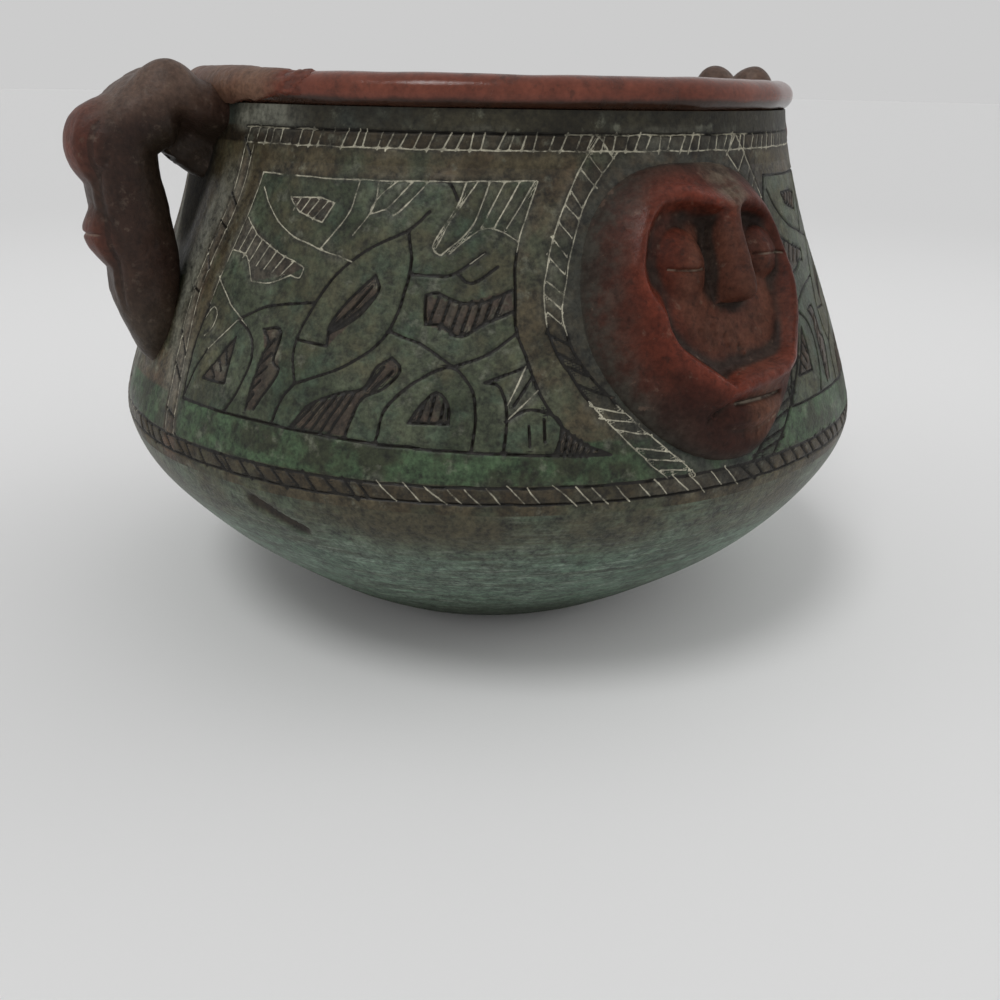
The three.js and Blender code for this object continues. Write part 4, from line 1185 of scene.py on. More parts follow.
def handle(name, turn, knob_tops, seed, materials):
    """knob_tops gives the heights of the knobs on the -Y and +Y sides before the handle is turned."""
    line = strap_line()
    base, push, front = strap_surface(line)
    out, aside, height = base[..., 0], base[..., 1], base[..., 2]
    is_face = front > 0

    # Brow and lips on the outer face, knobs on top
    brow_q = np.hypot(aside / BROW_HALF_WIDTH, (height - BROW_HEIGHT) / BROW_HALF_HEIGHT)
    brow = np.where(is_face, swell(brow_q, BROW_RISE, 1.25), 0)
    lip_q = np.hypot(aside / LIP_HALF_WIDTH, (height - LIP_HEIGHT + LIP_DROP) / LIP_HALF_HEIGHT)
    lips = np.where(is_face & (out > LIP_OUT), swell(lip_q, LIP_RISE, 1.1), 0)
    knob_q = np.hypot((out - KNOB_OUT) / KNOB_HALF_DEPTH, (np.abs(aside) - KNOB_ASIDE) / KNOB_HALF_WIDTH)
    upper = line[:TOP_ROWS]
    flat_top = np.interp(KNOB_OUT, upper[:, 0], upper[:, 1] + upper[:, 2]) - KNOB_SETTLE
    rise = np.where(aside < 0, *knob_tops) - flat_top
    on_top = smoothstep(-0.1, 0.35, front) * smoothstep(135, 142, height)
    knobs = swell(knob_q, rise, 1.5) * on_top

    # The applied face has an edge down each side, with a crack along it
    edge_run = smoothstep(92, 100, height) * (1 - smoothstep(136, 141, height)) * is_face
    ridge = 0.45 * hill(front - 0.955, 0.03) - 0.45 * hill(front - 0.86, 0.045)
    edge = edge_run * ridge
    slit = hill(height - LIP_HEIGHT, LIP_SLIT) * smoothstep(1.6, 2.8, lips)
    pit_side = -1 if turn == 0 else 1
    pit_q = np.hypot((height - PIT_HEIGHT) / PIT_HALF, (out - line[:, :1] - PIT_OUT) / PIT_HALF)
    pit_q = pit_q + 9 * (np.sign(aside) != pit_side)
    pit = 0.5 * hill(pit_q, 1) - 0.2 * hill(pit_q - 1.6, 0.5)
    lumpy = 0.4 * waves(base, 21, seed) + 0.09 * waves(base, 5, seed + 1)
    shape = blend_over(np.maximum(brow, lips), knobs, 1.2) + edge - 0.7 * slit - pit + lumpy
    top = base + push * shape[..., None]
    normals = turned(grid_normals(top, True), turn)

    piece = np.full(shape.shape, "strap", dtype=PIECE_NAME)
    ends = ("front", "back") if turn == 0 else ("back", "front")
    piece[brow > PIECE_EDGE] = "brow"
    piece[lips > PIECE_EDGE] = "lips"
    piece[(knobs > PIECE_EDGE) & (aside < 0)] = f"knob_{ends[0]}"
    piece[(knobs > PIECE_EDGE) & (aside >= 0)] = f"knob_{ends[1]}"
    of_cell = piece[:-1]
    plain = np.minimum(shape, lumpy)
    sunk = np.where(buried(of_cell != "strap", True), plain - SUNK_UNDER, shape)
    strap_top = turned(base + push * sunk[..., None], turn)
    under = turned(base + push * (plain - BEDDED)[..., None], turn)
    top = turned(top, turn)

    # What the clay's colour follows
    red = np.clip((brow + lips) / 5, 0, 1) * smoothstep(0.55, 0.98, front)
    # Dust on the handle's top, with painted light where the top faces the light above
    dusty = smoothstep(136, 147, height + 2 * front) * (1 - 0.4 * smoothstep(92, 86, out))
    root = smoothstep(93, 87, out) * smoothstep(141, 136, height)
    shade = np.maximum(smoothstep(0.2, -0.6, front) * smoothstep(104, 122, height), root)
    hollow = pit + 0.7 * (edge < -0.25)
    values = {"hollow": hollow, "chalky": slit, "red": red, "dusty": dusty, "shade": shade}

    quads = grid_faces(STRAP_ROWS, STRAP_COLUMNS, True)
    first = np.arange(STRAP_COLUMNS)
    last = first + (STRAP_ROWS - 1) * STRAP_COLUMNS
    side_normals = normals.reshape(-1, 3)[quads].reshape(-1, 3)
    corner_normals = np.vstack([side_normals, np.zeros((2 * STRAP_COLUMNS, 3))])
    kept = {key: value.ravel() for key, value in values.items()}
    faces = [quads, first[::-1][None, :], last[None, :]]
    strap = make_object(f"handle_{name}_strap", strap_top.reshape(-1, 3), faces, corner_normals, kept)
    place(strap, materials["handle"], "handle_clay", f"handle_{name}_strap")
    for part in sorted(set(of_cell.ravel()) - {"strap"}):
        thing = lump(f"handle_{name}_{part}", top, under, of_cell == part, normals, values, True)
        place(thing, materials["handle"], "handle_clay", f"handle_{name}_{part}")
    for end, way in zip(ends, (-1, 1)):
        arm(name, end, way, turn, seed, materials)


# An arm's length along the rim, its rise, and the angles round the rim's section that it covers
ARM_LENGTH = 42.0
ARM_RISE = 1.25
ARM_ANGLES = (-62, 128)
ARM_COLUMNS = 120
ARM_ROWS = 90
ARM_EDGE = 0.12


def arm(name, end, way, turn, seed, materials):
    """Clay smeared along the rim from the handle, thinning to a ragged edge."""
    run = np.linspace(0, ARM_LENGTH, ARM_COLUMNS)[None, :]
    angle = np.linspace(*ARM_ANGLES, ARM_ROWS)[:, None]
    where = math.pi / 2 + turn + way * run / RIM_RADIUS + 0 * angle
    spot = np.stack([run + 0 * angle, angle / 12 + 0 * run, 0 * run * angle], axis=-1)
    ragged = waves(spot, 8, seed + 5 + way) * smoothstep(0, 8, run)
    share = run / ARM_LENGTH
    thin = 1 - smoothstep(0.25, 0.95, share + 0.09 * ragged)
    low = -66 + 62 * share**1.5 + 7 * ragged
    across = smoothstep(low, low + 16, angle) * (1 - smoothstep(96, 124, angle + 8 * ragged))
    rise = (ARM_RISE * (0.3 + 0.7 * thin) * smoothstep(0, 0.15, thin) + 0.15 * ragged * thin) * across
    radians = np.radians(angle) + 0 * run
    top = rim_surface(where, radians, rise)
    under = rim_surface(where, radians, np.full(rise.shape, -BEDDED))
    normals = grid_normals(top)
    if way < 0:
        top, under, rise, normals = (a[:, ::-1] for a in (top, under, rise, -normals))
    cells = (rise[:-1, :-1] + rise[1:, 1:]) > ARM_EDGE
    thing = lump(f"handle_{name}_arm_{end}", top, under, cells, normals, {"rise": rise})
    place(thing, materials["arm"], "handle_clay", f"handle_{name}_arm_{end}")


# Materials


def srgb(red, green, blue):
    """A colour written from 0 to 255 as the eye sees it."""
    parts = [c / 255 for c in (red, green, blue)]
    return tuple(c / 12.92 if c <= 0.04045 else ((c + 0.055) / 1.055) ** 2.4 for c in parts) + (1.0,)


class Sheet:
    """Nodes of one material or node group, with short ways to add and join them."""

    def __init__(self, tree):
        self.tree = tree

    def add(self, kind, inputs=None, **settings):
        node = self.tree.nodes.new(kind)
        for key, value in settings.items():
            setattr(node, key, value)
        for key, value in (inputs or {}).items():
            if isinstance(value, bpy.types.NodeSocket):
                self.tree.links.new(value, node.inputs[key])
            else:
                node.inputs[key].default_value = value
        return node

    def math(self, operation, a, b=0.0):
        return self.add("ShaderNodeMath", {0: a, 1: b}, operation=operation).outputs[0]

    def vector(self, operation, output, a, b=(0.0, 0.0, 0.0)):
        return self.add("ShaderNodeVectorMath", {0: a, 1: b}, operation=operation).outputs[output]

    def step(self, value, low, high):
        wanted = {"Value": value, "From Min": low, "From Max": high}
        return self.add("ShaderNodeMapRange", wanted, interpolation_type="SMOOTHSTEP").outputs[0]

    def mix(self, share, a, b):
        return self.add("ShaderNodeMix", {0: share, 6: a, 7: b}, data_type="RGBA").outputs[2]

    def attribute(self, name):
        return self.add("ShaderNodeAttribute", attribute_name=name).outputs["Fac"]

    def group(self, tree, **inputs):
        wanted = {key.replace("_", " ").capitalize(): value for key, value in inputs.items()}
        return self.add("ShaderNodeGroup", wanted, node_tree=tree).outputs

    def mottle(self, **inputs):
        return self.group(MOTTLE, **inputs)[0]

    def plus(self, base, mask, share):
        """A value that rises over its base by a share of a mask."""
        return self.math("ADD", base, self.math("MULTIPLY", mask, share))

    def coat(self, colour, paint, mask, share):
        """Paint over a colour, as dense as a share of a mask."""
        return self.mix(self.math("MULTIPLY", mask, share), colour, paint)

    def patches(self, colour, paint, share, **inputs):
        """Mottled patches of paint over a colour."""
        return self.coat(colour, paint, self.mottle(**inputs), share)


def new_group(name, inputs, outputs):
    tree = bpy.data.node_groups.new(name, "ShaderNodeTree")
    for key, kind, value in inputs:
        tree.interface.new_socket(key, in_out="INPUT", socket_type=kind).default_value = value
    for key, kind in outputs:
        tree.interface.new_socket(key, in_out="OUTPUT", socket_type=kind)
    sheet = Sheet(tree)
    return sheet, sheet.add("NodeGroupInput").outputs


def mottle_group():
    """Patches of uneven colour; a stretched one gives the streaks of a brush or of burnishing."""
    inputs = [
        ("Scale", "NodeSocketFloat", 50.0),
        ("Stretch", "NodeSocketVector", (1.0, 1.0, 1.0)),
        ("Low", "NodeSocketFloat", 0.4),
        ("High", "NodeSocketFloat", 0.6),
    ]
    sheet, given = new_group("Mottle", inputs, [("Mask", "NodeSocketFloat")])
    spot = sheet.add("ShaderNodeTexCoord").outputs["Object"]
    spot = sheet.vector("MULTIPLY", 0, spot, given["Stretch"])
    wanted = {"Vector": spot, "Scale": given["Scale"], "Detail": 6.0, "Roughness": 0.62}
    noise = sheet.add("ShaderNodeTexNoise", wanted).outputs[0]
    sheet.add("NodeGroupOutput", {"Mask": sheet.step(noise, given["Low"], given["High"])})
    return sheet.tree


def cuts_group():
    """Masks of the incised lines, of the chalk left in them and of the dirt and dust beside them."""
    outputs = [(key, "NodeSocketFloat") for key in ("Dark", "Chalk", "Dirt", "Dust")]
    sheet, _ = new_group("Cuts", [], outputs)

    # Within a face the way to a line is truer than the distance, except halfway between two lines
    near = {}
    for kind in ("dark", "chalk"):
        way = sheet.add("ShaderNodeAttribute", attribute_name=f"{kind}_way").outputs["Vector"]
        exact = sheet.vector("LENGTH", "Value", way)
        coarse = sheet.math("SUBTRACT", sheet.attribute(f"{kind}_cut"), WALL_STEP * MM)
        near[kind] = sheet.math("MULTIPLY", sheet.math("MAXIMUM", exact, coarse), 1 / MM)

    # An open line is bold, and chalk is finer, worn and broken
    rough = sheet.mottle(scale=420.0, low=0.2, high=0.8)
    ragged = sheet.mottle(scale=1100.0, low=0.2, high=0.8)
    uneven = sheet.plus(sheet.math("MULTIPLY", rough, 0.2), ragged, 0.16)
    bold = sheet.math("ADD", 0.27, uneven)
    dark = sheet.step(near["dark"], bold, sheet.math("MULTIPLY", bold, 0.6))
    fine = sheet.plus(0.05, uneven, 0.85)
    chalk = sheet.step(near["chalk"], fine, sheet.math("MULTIPLY", fine, 0.45))
    worn = sheet.mottle(scale=60.0, low=0.3, high=0.56)
    chalk = sheet.math("MULTIPLY", chalk, sheet.plus(0.45, worn, 0.55))
    chalk = sheet.math("MULTIPLY", chalk, sheet.mottle(scale=190.0, low=0.34, high=0.52))

    spotted = sheet.mottle(scale=700.0, low=0.3, high=0.6)
    dirt = sheet.math("MULTIPLY", sheet.step(near["chalk"], 1.5, 0.35), spotted)
    cloud = sheet.mottle(scale=60.0, low=0.45, high=0.7)
    dust = sheet.math("MULTIPLY", sheet.step(near["chalk"], 2.6, 0.3), cloud)
    sheet.add("NodeGroupOutput", {"Dark": dark, "Chalk": chalk, "Dirt": dirt, "Dust": dust})
    return sheet.tree


def height_group():
    """Height over the floor, in millimetres."""
    sheet, _ = new_group("Height", [], [("Height", "NodeSocketFloat")])
    spot = sheet.add("ShaderNodeTexCoord").outputs["Object"]
    up = sheet.add("ShaderNodeSeparateXYZ", {0: spot}).outputs["Z"]
    sheet.add("NodeGroupOutput", {"Height": sheet.math("MULTIPLY", up, 1 / MM)})
    return sheet.tree


MOTTLE = mottle_group()
CUTS = cuts_group()
HEIGHT = height_group()
LEVEL_STREAKS = (1.0, 1.0, 14.0)
UPRIGHT_CLOUDS = (1.0, 1.0, 0.35)
GRAIN_DEPTH = 0.3

CLAY_INSIDE = srgb(96, 78, 62)
LINE_DARK = srgb(22, 19, 14)
CHALK = srgb(160, 156, 138)
DUST_AND_LIGHT = srgb(108, 108, 97)


def new_material(name):
    material = bpy.data.materials.new(name)
    material.use_nodes = True
    material.node_tree.nodes.clear()
    return material, Sheet(material.node_tree)


def finish_material(sheet, colour, roughness, specular, speckle, grain=0.25, cut=0.0):
    """Joins colour, roughness and a fine grain to the shader."""
    fine = sheet.mottle(scale=900.0, low=0.28, high=0.72)
    coarse = sheet.mottle(scale=260.0, low=0.28, high=0.72)
    grains = sheet.math("ADD", fine, coarse)
    tone = sheet.plus(1 - speckle, grains, speckle)
    colour = sheet.add("ShaderNodeVectorMath", {0: colour, "Scale": tone}, operation="SCALE").outputs[0]
    both = sheet.math("SUBTRACT", grains, sheet.math("MULTIPLY", cut, 1.5))
    wanted = {"Height": both, "Strength": grain, "Distance": GRAIN_DEPTH * MM}
    normal = sheet.add("ShaderNodeBump", wanted).outputs[0]
    wanted = {"Base Color": colour, "Roughness": roughness, "Normal": normal, "Specular IOR Level": specular}
    shader = sheet.add("ShaderNodeBsdfPrincipled", wanted)
    sheet.add("ShaderNodeOutputMaterial", {"Surface": shader.outputs[0]})


def add_cuts(sheet, colour):
    """Lays the incised lines over a colour, and gives the mask of the open ones too."""
    cuts = sheet.group(CUTS)
    colour = sheet.coat(colour, DUST_AND_LIGHT, cuts["Dust"], 0.4)
    colour = sheet.coat(colour, LINE_DARK, cuts["Dirt"], 0.6)
    colour = sheet.mix(cuts["Dark"], colour, LINE_DARK)
    return sheet.coat(colour, CHALK, cuts["Chalk"], 0.92), cuts["Dark"]


def add_wear(sheet, colour):
    """Specks, worn places, grime round the masks, dust beside the handles with painted light on the neck, and
    painted shade with soot under each handle's arch.
    """
    colour = sheet.patches(colour, srgb(34, 32, 24), share=0.55, scale=340.0, low=0.54, high=0.68)
    colour = sheet.patches(colour, srgb(106, 108, 94), share=0.45, scale=210.0, low=0.56, high=0.7)
    grime = sheet.plus(0.35, sheet.mottle(scale=240.0, low=0.3, high=0.62), 0.5)
    colour = sheet.coat(colour, srgb(42, 44, 40), sheet.attribute("beside"), grime)
    # Dust beside the handles, which on the neck is also painted light
    cloud = sheet.mottle(scale=90.0, stretch=UPRIGHT_CLOUDS, low=0.34, high=0.6)
    colour = sheet.coat(colour, DUST_AND_LIGHT, sheet.attribute("dusty"), sheet.plus(0.25, cloud, 0.6))
    # Painted shade, with some soot, under each handle's arch
    return sheet.coat(colour, srgb(30, 26, 20), sheet.attribute("shade"), 0.9)


def sooted_and_shaded(sheet, roughness):
    """The soot and the painted shade under the handles take away the gloss."""
    return sheet.plus(roughness, sheet.attribute("shade"), 0.5)


def brown_margin(sheet):
    """The brown slip round the painted fields, greener and redder in places."""
    soft = sheet.mottle(scale=120.0, low=0.3, high=0.62)
    colour = sheet.mix(soft, srgb(47, 39, 25), srgb(69, 62, 45))
    colour = sheet.patches(colour, srgb(60, 70, 54), share=0.6, scale=46.0, low=0.5, high=0.66)
    return sheet.patches(colour, srgb(80, 62, 47), share=0.5, scale=31.0, low=0.54, high=0.68)


def wall_material():
    material, sheet = new_material("green_slip")
    height = sheet.group(HEIGHT)[0]
    soft = sheet.mottle(scale=60.0, low=0.38, high=0.62)
    colour = sheet.mix(soft, srgb(41, 48, 32), srgb(64, 70, 53))
    colour = sheet.patches(colour, srgb(54, 70, 56), share=0.5, scale=150.0, low=0.46, high=0.62)
    colour = sheet.patches(colour, srgb(38, 44, 30), share=0.55, scale=210.0, low=0.5, high=0.66)
    worn = sheet.mottle(scale=33.0, low=0.47, high=0.6)
    colour = sheet.coat(colour, srgb(68, 62, 44), worn, 0.6)
    fill = sheet.plus(0.5, sheet.mottle(scale=120.0, low=0.25, high=0.6), 0.4)
    colour = sheet.coat(colour, srgb(58, 46, 38), sheet.attribute("patch"), fill)

    # Outside the fields the slip is brown, except for a green band under them
    spots = sheet.mottle(scale=110.0, low=0.4, high=0.6)
    green = sheet.mix(spots, srgb(40, 45, 29), srgb(57, 76, 52))
    low_band = sheet.math("MULTIPLY", sheet.step(height, 76.0, 75.0), sheet.step(height, 66.0, 66.8))
    outside = sheet.mix(low_band, brown_margin(sheet), green)
    colour = sheet.mix(sheet.attribute("margin"), colour, outside)
    between = sheet.math("MULTIPLY", sheet.step(height, 66.2, 65.8), sheet.step(height, 62.0, 62.5))
    colour = sheet.coat(colour, srgb(46, 37, 24), between, 0.6)
    colour = sheet.coat(colour, srgb(76, 58, 44), sheet.attribute("rust"), 0.7)
    colour, cut = add_cuts(sheet, add_wear(sheet, colour))
    colour = sheet.mix(sheet.attribute("inside"), colour, CLAY_INSIDE)
    roughness = sooted_and_shaded(sheet, sheet.plus(0.43, worn, 0.15))
    finish_material(sheet, colour, roughness, specular=0.32, speckle=0.85, cut=cut)
    return material


def neck_material():
    material, sheet = new_material("neck_slip")
    height = sheet.group(HEIGHT)[0]
    soft = sheet.mottle(scale=40.0, low=0.38, high=0.62)
    band = sheet.mix(soft, srgb(38, 31, 21), srgb(53, 45, 31))
    colour = sheet.mix(sheet.step(height, 134.2, 134.8), brown_margin(sheet), band)
    dark = sheet.mix(soft, srgb(28, 25, 16), srgb(46, 43, 31))
    dark = sheet.patches(dark, srgb(66, 74, 68), share=0.55, scale=22.0, low=0.5, high=0.66)
    colour = sheet.mix(sheet.step(height, 137.8, 138.6), colour, dark)
    colour, cut = add_cuts(sheet, add_wear(sheet, colour))
    colour = sheet.mix(sheet.attribute("inside"), colour, CLAY_INSIDE)
    finish_material(sheet, colour, sooted_and_shaded(sheet, 0.5), specular=0.24, speckle=0.7, cut=cut)
    return material


def bowl_material():
    material, sheet = new_material("teal_slip")
    height = sheet.group(HEIGHT)[0]
    soft = sheet.mottle(scale=30.0, low=0.35, high=0.65)
    colour = sheet.mix(soft, srgb(64, 86, 69), srgb(86, 106, 90))
    brushed = sheet.mottle(scale=42.0, stretch=LEVEL_STREAKS, low=0.46, high=0.62)
    colour = sheet.coat(colour, srgb(56, 62, 48), brushed, 0.75)
    scratch = sheet.mottle(scale=110.0, stretch=LEVEL_STREAKS, low=0.52, high=0.64)
    colour = sheet.coat(colour, srgb(122, 134, 122), scratch, 0.6)
    colour = sheet.patches(colour, srgb(32, 36, 24), share=0.7, scale=300.0, low=0.54, high=0.7)

    # Browner towards the shoulder, darker towards the foot, with a dark gouge
    share = sheet.plus(0.5, sheet.mottle(scale=24.0, low=0.4, high=0.62), 0.5)
    colour = sheet.coat(colour, srgb(60, 56, 40), sheet.step(height, 40.0, 55.0), share)
    colour = sheet.coat(colour, srgb(34, 40, 26), sheet.step(height, 27.0, 12.0), 0.8)
    cut = sheet.step(sheet.attribute("dark_cut"), 2.4 * MM, 1.2 * MM)
    colour = sheet.coat(colour, srgb(34, 26, 18), cut, 0.95)
    colour = sheet.mix(sheet.attribute("inside"), colour, CLAY_INSIDE)
    roughness = sheet.plus(0.4, sheet.step(height, 34.0, 8.0), 0.4)
    finish_material(sheet, colour, roughness, specular=0.36, speckle=0.95)
    return material


def rim_material():
    material, sheet = new_material("red_slip")
    soft = sheet.mottle(scale=26.0, low=0.35, high=0.65)
    colour = sheet.mix(soft, srgb(88, 44, 32), srgb(108, 58, 44))
    patch = sheet.mottle(scale=70.0, low=0.5, high=0.66)
    colour = sheet.coat(colour, srgb(62, 36, 28), patch, 0.6)
    colour = sheet.patches(colour, srgb(42, 30, 24), share=0.5, scale=330.0, low=0.56, high=0.7)
    uneven = sheet.plus(sheet.group(HEIGHT)[0], soft, 0.9)
    colour = sheet.coat(colour, srgb(38, 29, 21), sheet.step(uneven, 146.2, 145.0), 0.85)
    roughness = sheet.plus(0.15, patch, 0.2)
    finish_material(sheet, colour, roughness, specular=0.28, speckle=0.3, grain=0.1)
    return material


def mask_material():
    material, sheet = new_material("mask_clay")
    across = sheet.attribute("across")
    up = sheet.attribute("up")
    spot = sheet.add("ShaderNodeCombineXYZ", {0: across, 1: up}).outputs[0]

    def near(x, y, far, close):
        """A mask round one place on the face."""
        return sheet.step(sheet.vector("DISTANCE", "Value", spot, (x, y, 0.0)), far, close)

    soft = sheet.mottle(scale=34.0, low=0.38, high=0.62)
    colour = sheet.mix(soft, srgb(53, 22, 14), srgb(79, 36, 24))
    patch = sheet.mottle(scale=80.0, low=0.48, high=0.62)
    colour = sheet.coat(colour, srgb(44, 28, 22), patch, 0.5)
    colour = sheet.coat(colour, srgb(44, 27, 22), sheet.step(up, -6.0, -22.0), 0.8)
    shine = sheet.attribute("shine")
    # Painted highlight along the crest, over redder burnished clay
    colour = sheet.coat(colour, srgb(103, 47, 34), shine, 0.75)
    # Painted shade on the mask's right side, against the light from the right
    colour = sheet.coat(colour, srgb(54, 30, 23), sheet.step(across, 17.0, 26.0), 0.5)

    # Dusty clay within the face, and a redder chin painted lighter as painted light where it faces down
    colour = sheet.coat(colour, srgb(88, 60, 47), near(4.0, 5.0, 20.0, 13.0), sheet.plus(0.25, soft, 0.3))
    # Painted light on the chin, over its redder clay
    colour = sheet.coat(colour, srgb(95, 61, 46), near(6.0, -21.0, 9.0, 3.5), 0.7)

    # Painted shade darkens the hollows, with dust in them; dust and soot lie along the edge
    grime = sheet.mottle(scale=260.0, low=0.35, high=0.62)
    hollow = sheet.step(sheet.attribute("hollow"), 0.15, 1.3)
    # Painted shade in the hollows and sockets of the face
    colour = sheet.coat(colour, srgb(35, 29, 25), hollow, 0.85)
    colour = sheet.coat(colour, srgb(70, 66, 59), sheet.math("MULTIPLY", hollow, grime), 0.16)
    edge = sheet.attribute("edge")
    left_edge = sheet.math("MULTIPLY", sheet.step(edge, 0.66, 1.0), sheet.step(across, -4.0, -26.0))
    colour = sheet.coat(colour, srgb(54, 50, 44), left_edge, sheet.plus(0.35, grime, 0.6))
    colour = sheet.coat(colour, srgb(44, 43, 38), sheet.step(edge, 0.88, 1.0), 0.6)
    colour = sheet.coat(colour, srgb(84, 74, 62), near(8.0, 29.0, 8.5, 3.0), sheet.plus(0.3, grime, 0.6))
    chalk = sheet.math("MULTIPLY", sheet.step(sheet.attribute("slit"), 0.5, 0.9), grime)
    colour = sheet.coat(colour, srgb(122, 112, 98), chalk, 0.55)
    colour = sheet.patches(colour, srgb(32, 23, 19), share=0.45, scale=420.0, low=0.54, high=0.68)
    colour = sheet.patches(colour, srgb(104, 84, 72), share=0.4, scale=300.0, low=0.6, high=0.72)
    matt = sheet.plus(0.6, patch, 0.1)
    roughness = sheet.math("SUBTRACT", matt, sheet.math("MULTIPLY", shine, 0.4))
    finish_material(sheet, colour, roughness, specular=0.13, speckle=0.45, grain=0.2)
    return material


def handle_material():
    material, sheet = new_material("handle_clay")
    soft = sheet.mottle(scale=38.0, low=0.35, high=0.65)
    colour = sheet.mix(soft, srgb(41, 26, 20), srgb(53, 36, 28))
    patch = sheet.mottle(scale=60.0, low=0.25, high=0.6)
    top = sheet.mix(patch, srgb(68, 48, 39), srgb(84, 66, 56))
    # The top is paler with dust and with painted light
    colour = sheet.mix(sheet.attribute("dusty"), colour, top)
    colour = sheet.coat(colour, srgb(92, 49, 38), sheet.attribute("red"), sheet.plus(0.5, patch, 0.5))
    colour = sheet.coat(colour, srgb(42, 34, 26), sheet.attribute("shade"), 0.8)
    foot = sheet.step(sheet.group(HEIGHT)[0], 108.0, 84.0)
    colour = sheet.coat(colour, srgb(68, 60, 50), foot, 0.6)
    hollow = sheet.step(sheet.attribute("hollow"), 0.2, 0.8)
    colour = sheet.coat(colour, srgb(34, 26, 21), hollow, 0.6)
    colour = sheet.patches(colour, srgb(110, 96, 84), share=0.3, scale=420.0, low=0.56, high=0.72)
    chalk = sheet.math("MULTIPLY", sheet.step(sheet.attribute("chalky"), 0.55, 0.9), patch)
    colour = sheet.coat(colour, srgb(130, 108, 94), chalk, 0.7)
    finish_material(sheet, colour, 0.44, specular=0.22, speckle=0.45)
    return material


def arm_material():
    material, sheet = new_material("arm_clay")
    soft = sheet.mottle(scale=52.0, low=0.35, high=0.65)
    colour = sheet.mix(soft, srgb(86, 58, 46), srgb(102, 76, 61))
    thin = sheet.step(sheet.attribute("rise"), 0.9, 0.15)
    colour = sheet.mix(thin, colour, srgb(94, 50, 38))
    colour = sheet.patches(colour, srgb(52, 40, 32), share=0.4, scale=260.0, low=0.55, high=0.7)
    finish_material(sheet, colour, 0.46, specular=0.2, speckle=0.5)
    return material


# The vessel

CORNERS = ("front_left", "front_right", "back_right", "back_left")

materials = {
    "wall": wall_material(),
    "neck": neck_material(),
    "bowl": bowl_material(),
    "rim": rim_material(),
    "mask": mask_material(),
    "handle": handle_material(),
    "arm": arm_material(),
}

ornament()
gouge_turns = np.radians(np.linspace(*GOUGE_TURN, GOUGE_POINTS))
LINES["gouge"] = [wall_point(gouge_turns, np.linspace(*GOUGE_HEIGHT, GOUGE_POINTS))]
lines = {kind: line_object(kind) for kind in LINES}
incising = incise_tree()

for index, corner in enumerate(CORNERS):
    start = index * QUARTER - QUARTER
    turns = np.radians(np.linspace(start, start + QUARTER, WALL_COLUMNS // len(CORNERS) + 1))
    piece = shell(f"upper_wall_{corner}", turns, BOWL_TOP, COLLAR_BOTTOM, WALL_STEP, INSIDE_STEP, False)
    incise(piece, incising, lines["dark"], lines["chalk"], materials["wall"])
    place(piece, materials["wall"], "green_slip", "upper_wall")

turns = full_turn(WALL_COLUMNS)
collar = shell("neck_collar", turns, COLLAR_BOTTOM, NECK_HEIGHT, COLLAR_STEP, COLLAR_INSIDE_STEP, True)
incise(collar, incising, lines["dark"], lines["chalk"], materials["neck"])
place(collar, materials["neck"], "neck_slip", "neck_collar")

bowl = shell("lower_bowl", full_turn(BOWL_COLUMNS), 0.0, BOWL_TOP, BOWL_STEP, INSIDE_STEP, True)
incise(bowl, incising, lines["gouge"], lines["chalk"], materials["bowl"], GOUGE_WIDTH, GOUGE_DEPTH)
place(bowl, materials["bowl"], "teal_slip", "lower_bowl")

place(rim_coil(), materials["rim"], "red_slip", "rim_coil")
place(base_disc(), materials["bowl"], "teal_slip", "base_disc")
mask("front", 0.0, seed=3, materials=materials)
mask("back", math.pi, seed=4, materials=materials)
handle("right", 0.0, RIGHT_KNOB_TOPS, seed=21, materials=materials)
handle("left", math.pi, LEFT_KNOB_TOPS, seed=22, materials=materials)

for thing in lines.values():
    bpy.data.objects.remove(thing)


# Floor, world and light

FLOOR_HALF = 20000.0
FLOOR_COLOUR = srgb(229, 229, 229)
FLOOR_FAR_COLOUR = srgb(215, 215, 215)

# The floor is painted lighter near the vessel, as painted light against the shade round it, and turns to its
# far colour between these distances from the vessel's axis, in metres
FLOOR_NEAR = 0.25
FLOOR_FAR = 1.2

BACKDROP_COLOUR = srgb(204, 204, 204)

# The world's light, and the way in which it grows brighter
WORLD_LIGHT = 0.48
BRIGHT_SIDE = (0.52, -0.3, 0.0)


def floor():
    corners = np.array([(-1, -1, 0), (1, -1, 0), (1, 1, 0), (-1, 1, 0)]) * FLOOR_HALF
    thing = make_object("floor", corners, [np.arange(4)[None, :]])
    material, sheet = new_material("floor")
    spot = sheet.add("ShaderNodeTexCoord").outputs["Object"]
    away = sheet.vector("LENGTH", "Value", spot)
    colour = sheet.mix(sheet.step(away, FLOOR_NEAR, FLOOR_FAR), FLOOR_COLOUR, FLOOR_FAR_COLOUR)
    wanted = {"Base Color": colour, "Roughness": 0.9, "Specular IOR Level": 0.0}
    shader = sheet.add("ShaderNodeBsdfPrincipled", wanted)
    sheet.add("ShaderNodeOutputMaterial", {"Surface": shader.outputs[0]})
    thing.data.materials.append(material)


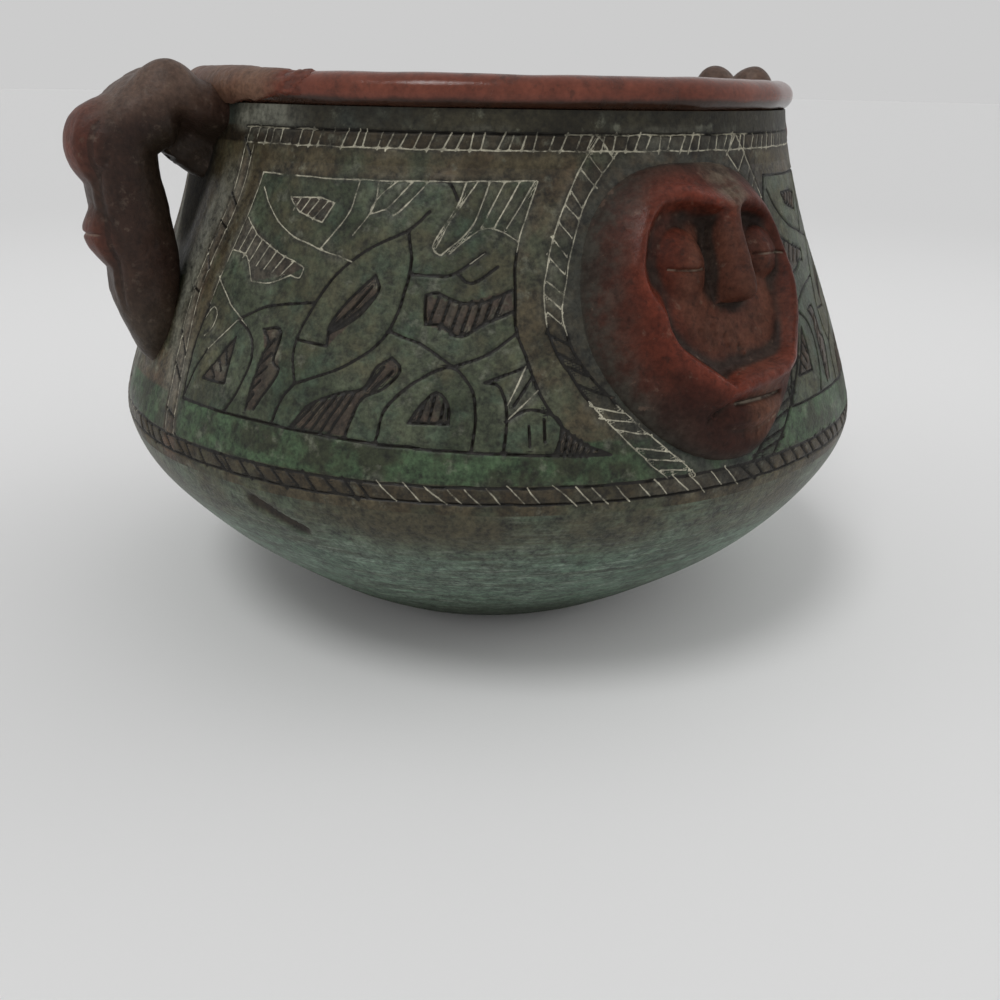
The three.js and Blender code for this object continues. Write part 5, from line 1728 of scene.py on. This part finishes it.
def studio():
    """White light from all round, more from one side; past the floor a plain pale backdrop shows."""
    world = bpy.data.worlds.new("studio")
    bpy.context.scene.world = world
    world.use_nodes = True
    world.node_tree.nodes.clear()
    sheet = Sheet(world.node_tree)
    path = sheet.add("ShaderNodeLightPath").outputs
    mirrored = sheet.math("MAXIMUM", path["Is Glossy Ray"], path["Is Transmission Ray"])
    seen = sheet.math("MAXIMUM", path["Is Camera Ray"], mirrored)
    toward = sheet.add("ShaderNodeTexCoord").outputs["Generated"]
    side = sheet.vector("DOT_PRODUCT", "Value", toward, BRIGHT_SIDE)
    strength = sheet.math("ADD", WORLD_LIGHT, sheet.math("MAXIMUM", side, 0.0))
    light = sheet.add("ShaderNodeBackground", {"Color": (1.0, 1.0, 1.0, 1.0), "Strength": strength})
    backdrop = sheet.add("ShaderNodeBackground", {"Color": BACKDROP_COLOUR, "Strength": 1.0})
    both = sheet.add("ShaderNodeMixShader", {0: seen, 1: light.outputs[0], 2: backdrop.outputs[0]})
    sheet.add("ShaderNodeOutputWorld", {"Surface": both.outputs[0]})


def sun(name, way, width, power, mirrored=False):
    """A soft lamp far off, seen in the direction given; only a mirrored one shows in glossy clay."""
    light = bpy.data.lights.new(name, "SUN")
    light.angle = math.radians(width)
    light.energy = power
    thing = bpy.data.objects.new(name, light)
    bpy.context.scene.collection.objects.link(thing)
    thing.rotation_euler = Vector(way).to_track_quat("Z", "Y").to_euler()
    thing.visible_glossy = mirrored


floor()
studio()
sun("overhead", way=(-0.53, -0.24, 1.0), width=20.0, power=0.9, mirrored=True)
sun("right_fill", way=(0.92, -0.2, 0.03), width=40.0, power=1.1)
sun("left_fill", way=(-1.0, 0.4, 0.15), width=40.0, power=0.55)


# Camera, in metres and radians

CAMERA_TURN = math.radians(-32)
CAMERA_OUT = 0.3129
CAMERA_UP = 0.1473
PITCH = 0.3912
ROLL = 0.0169
YAW = 0.0134
LENS = 36.0
NEAREST = 0.01


def camera():
    aside = Vector((math.cos(CAMERA_TURN), math.sin(CAMERA_TURN), 0))
    ahead = Vector((-math.sin(CAMERA_TURN), math.cos(CAMERA_TURN), 0))
    up = Vector((0, 0, 1))
    right = aside * math.cos(YAW) - ahead * math.sin(YAW)
    level = aside * math.sin(YAW) + ahead * math.cos(YAW)
    forward = level * math.cos(PITCH) - up * math.sin(PITCH)
    top = level * math.sin(PITCH) + up * math.cos(PITCH)
    x_axis = right * math.cos(ROLL) + top * math.sin(ROLL)
    y_axis = top * math.cos(ROLL) - right * math.sin(ROLL)
    lens = bpy.data.cameras.new("camera")
    lens.lens = LENS
    lens.sensor_width = LENS
    lens.clip_start = NEAREST
    thing = bpy.data.objects.new("camera", lens)
    bpy.context.scene.collection.objects.link(thing)
    turn = Matrix((x_axis, y_axis, -forward)).transposed().to_4x4()
    spot = (math.sin(CAMERA_TURN) * CAMERA_OUT, -math.cos(CAMERA_TURN) * CAMERA_OUT, CAMERA_UP)
    thing.matrix_world = Matrix.Translation(spot) @ turn
    bpy.context.scene.camera = thing


camera()
bpy.context.scene.view_settings.view_transform = "Standard"
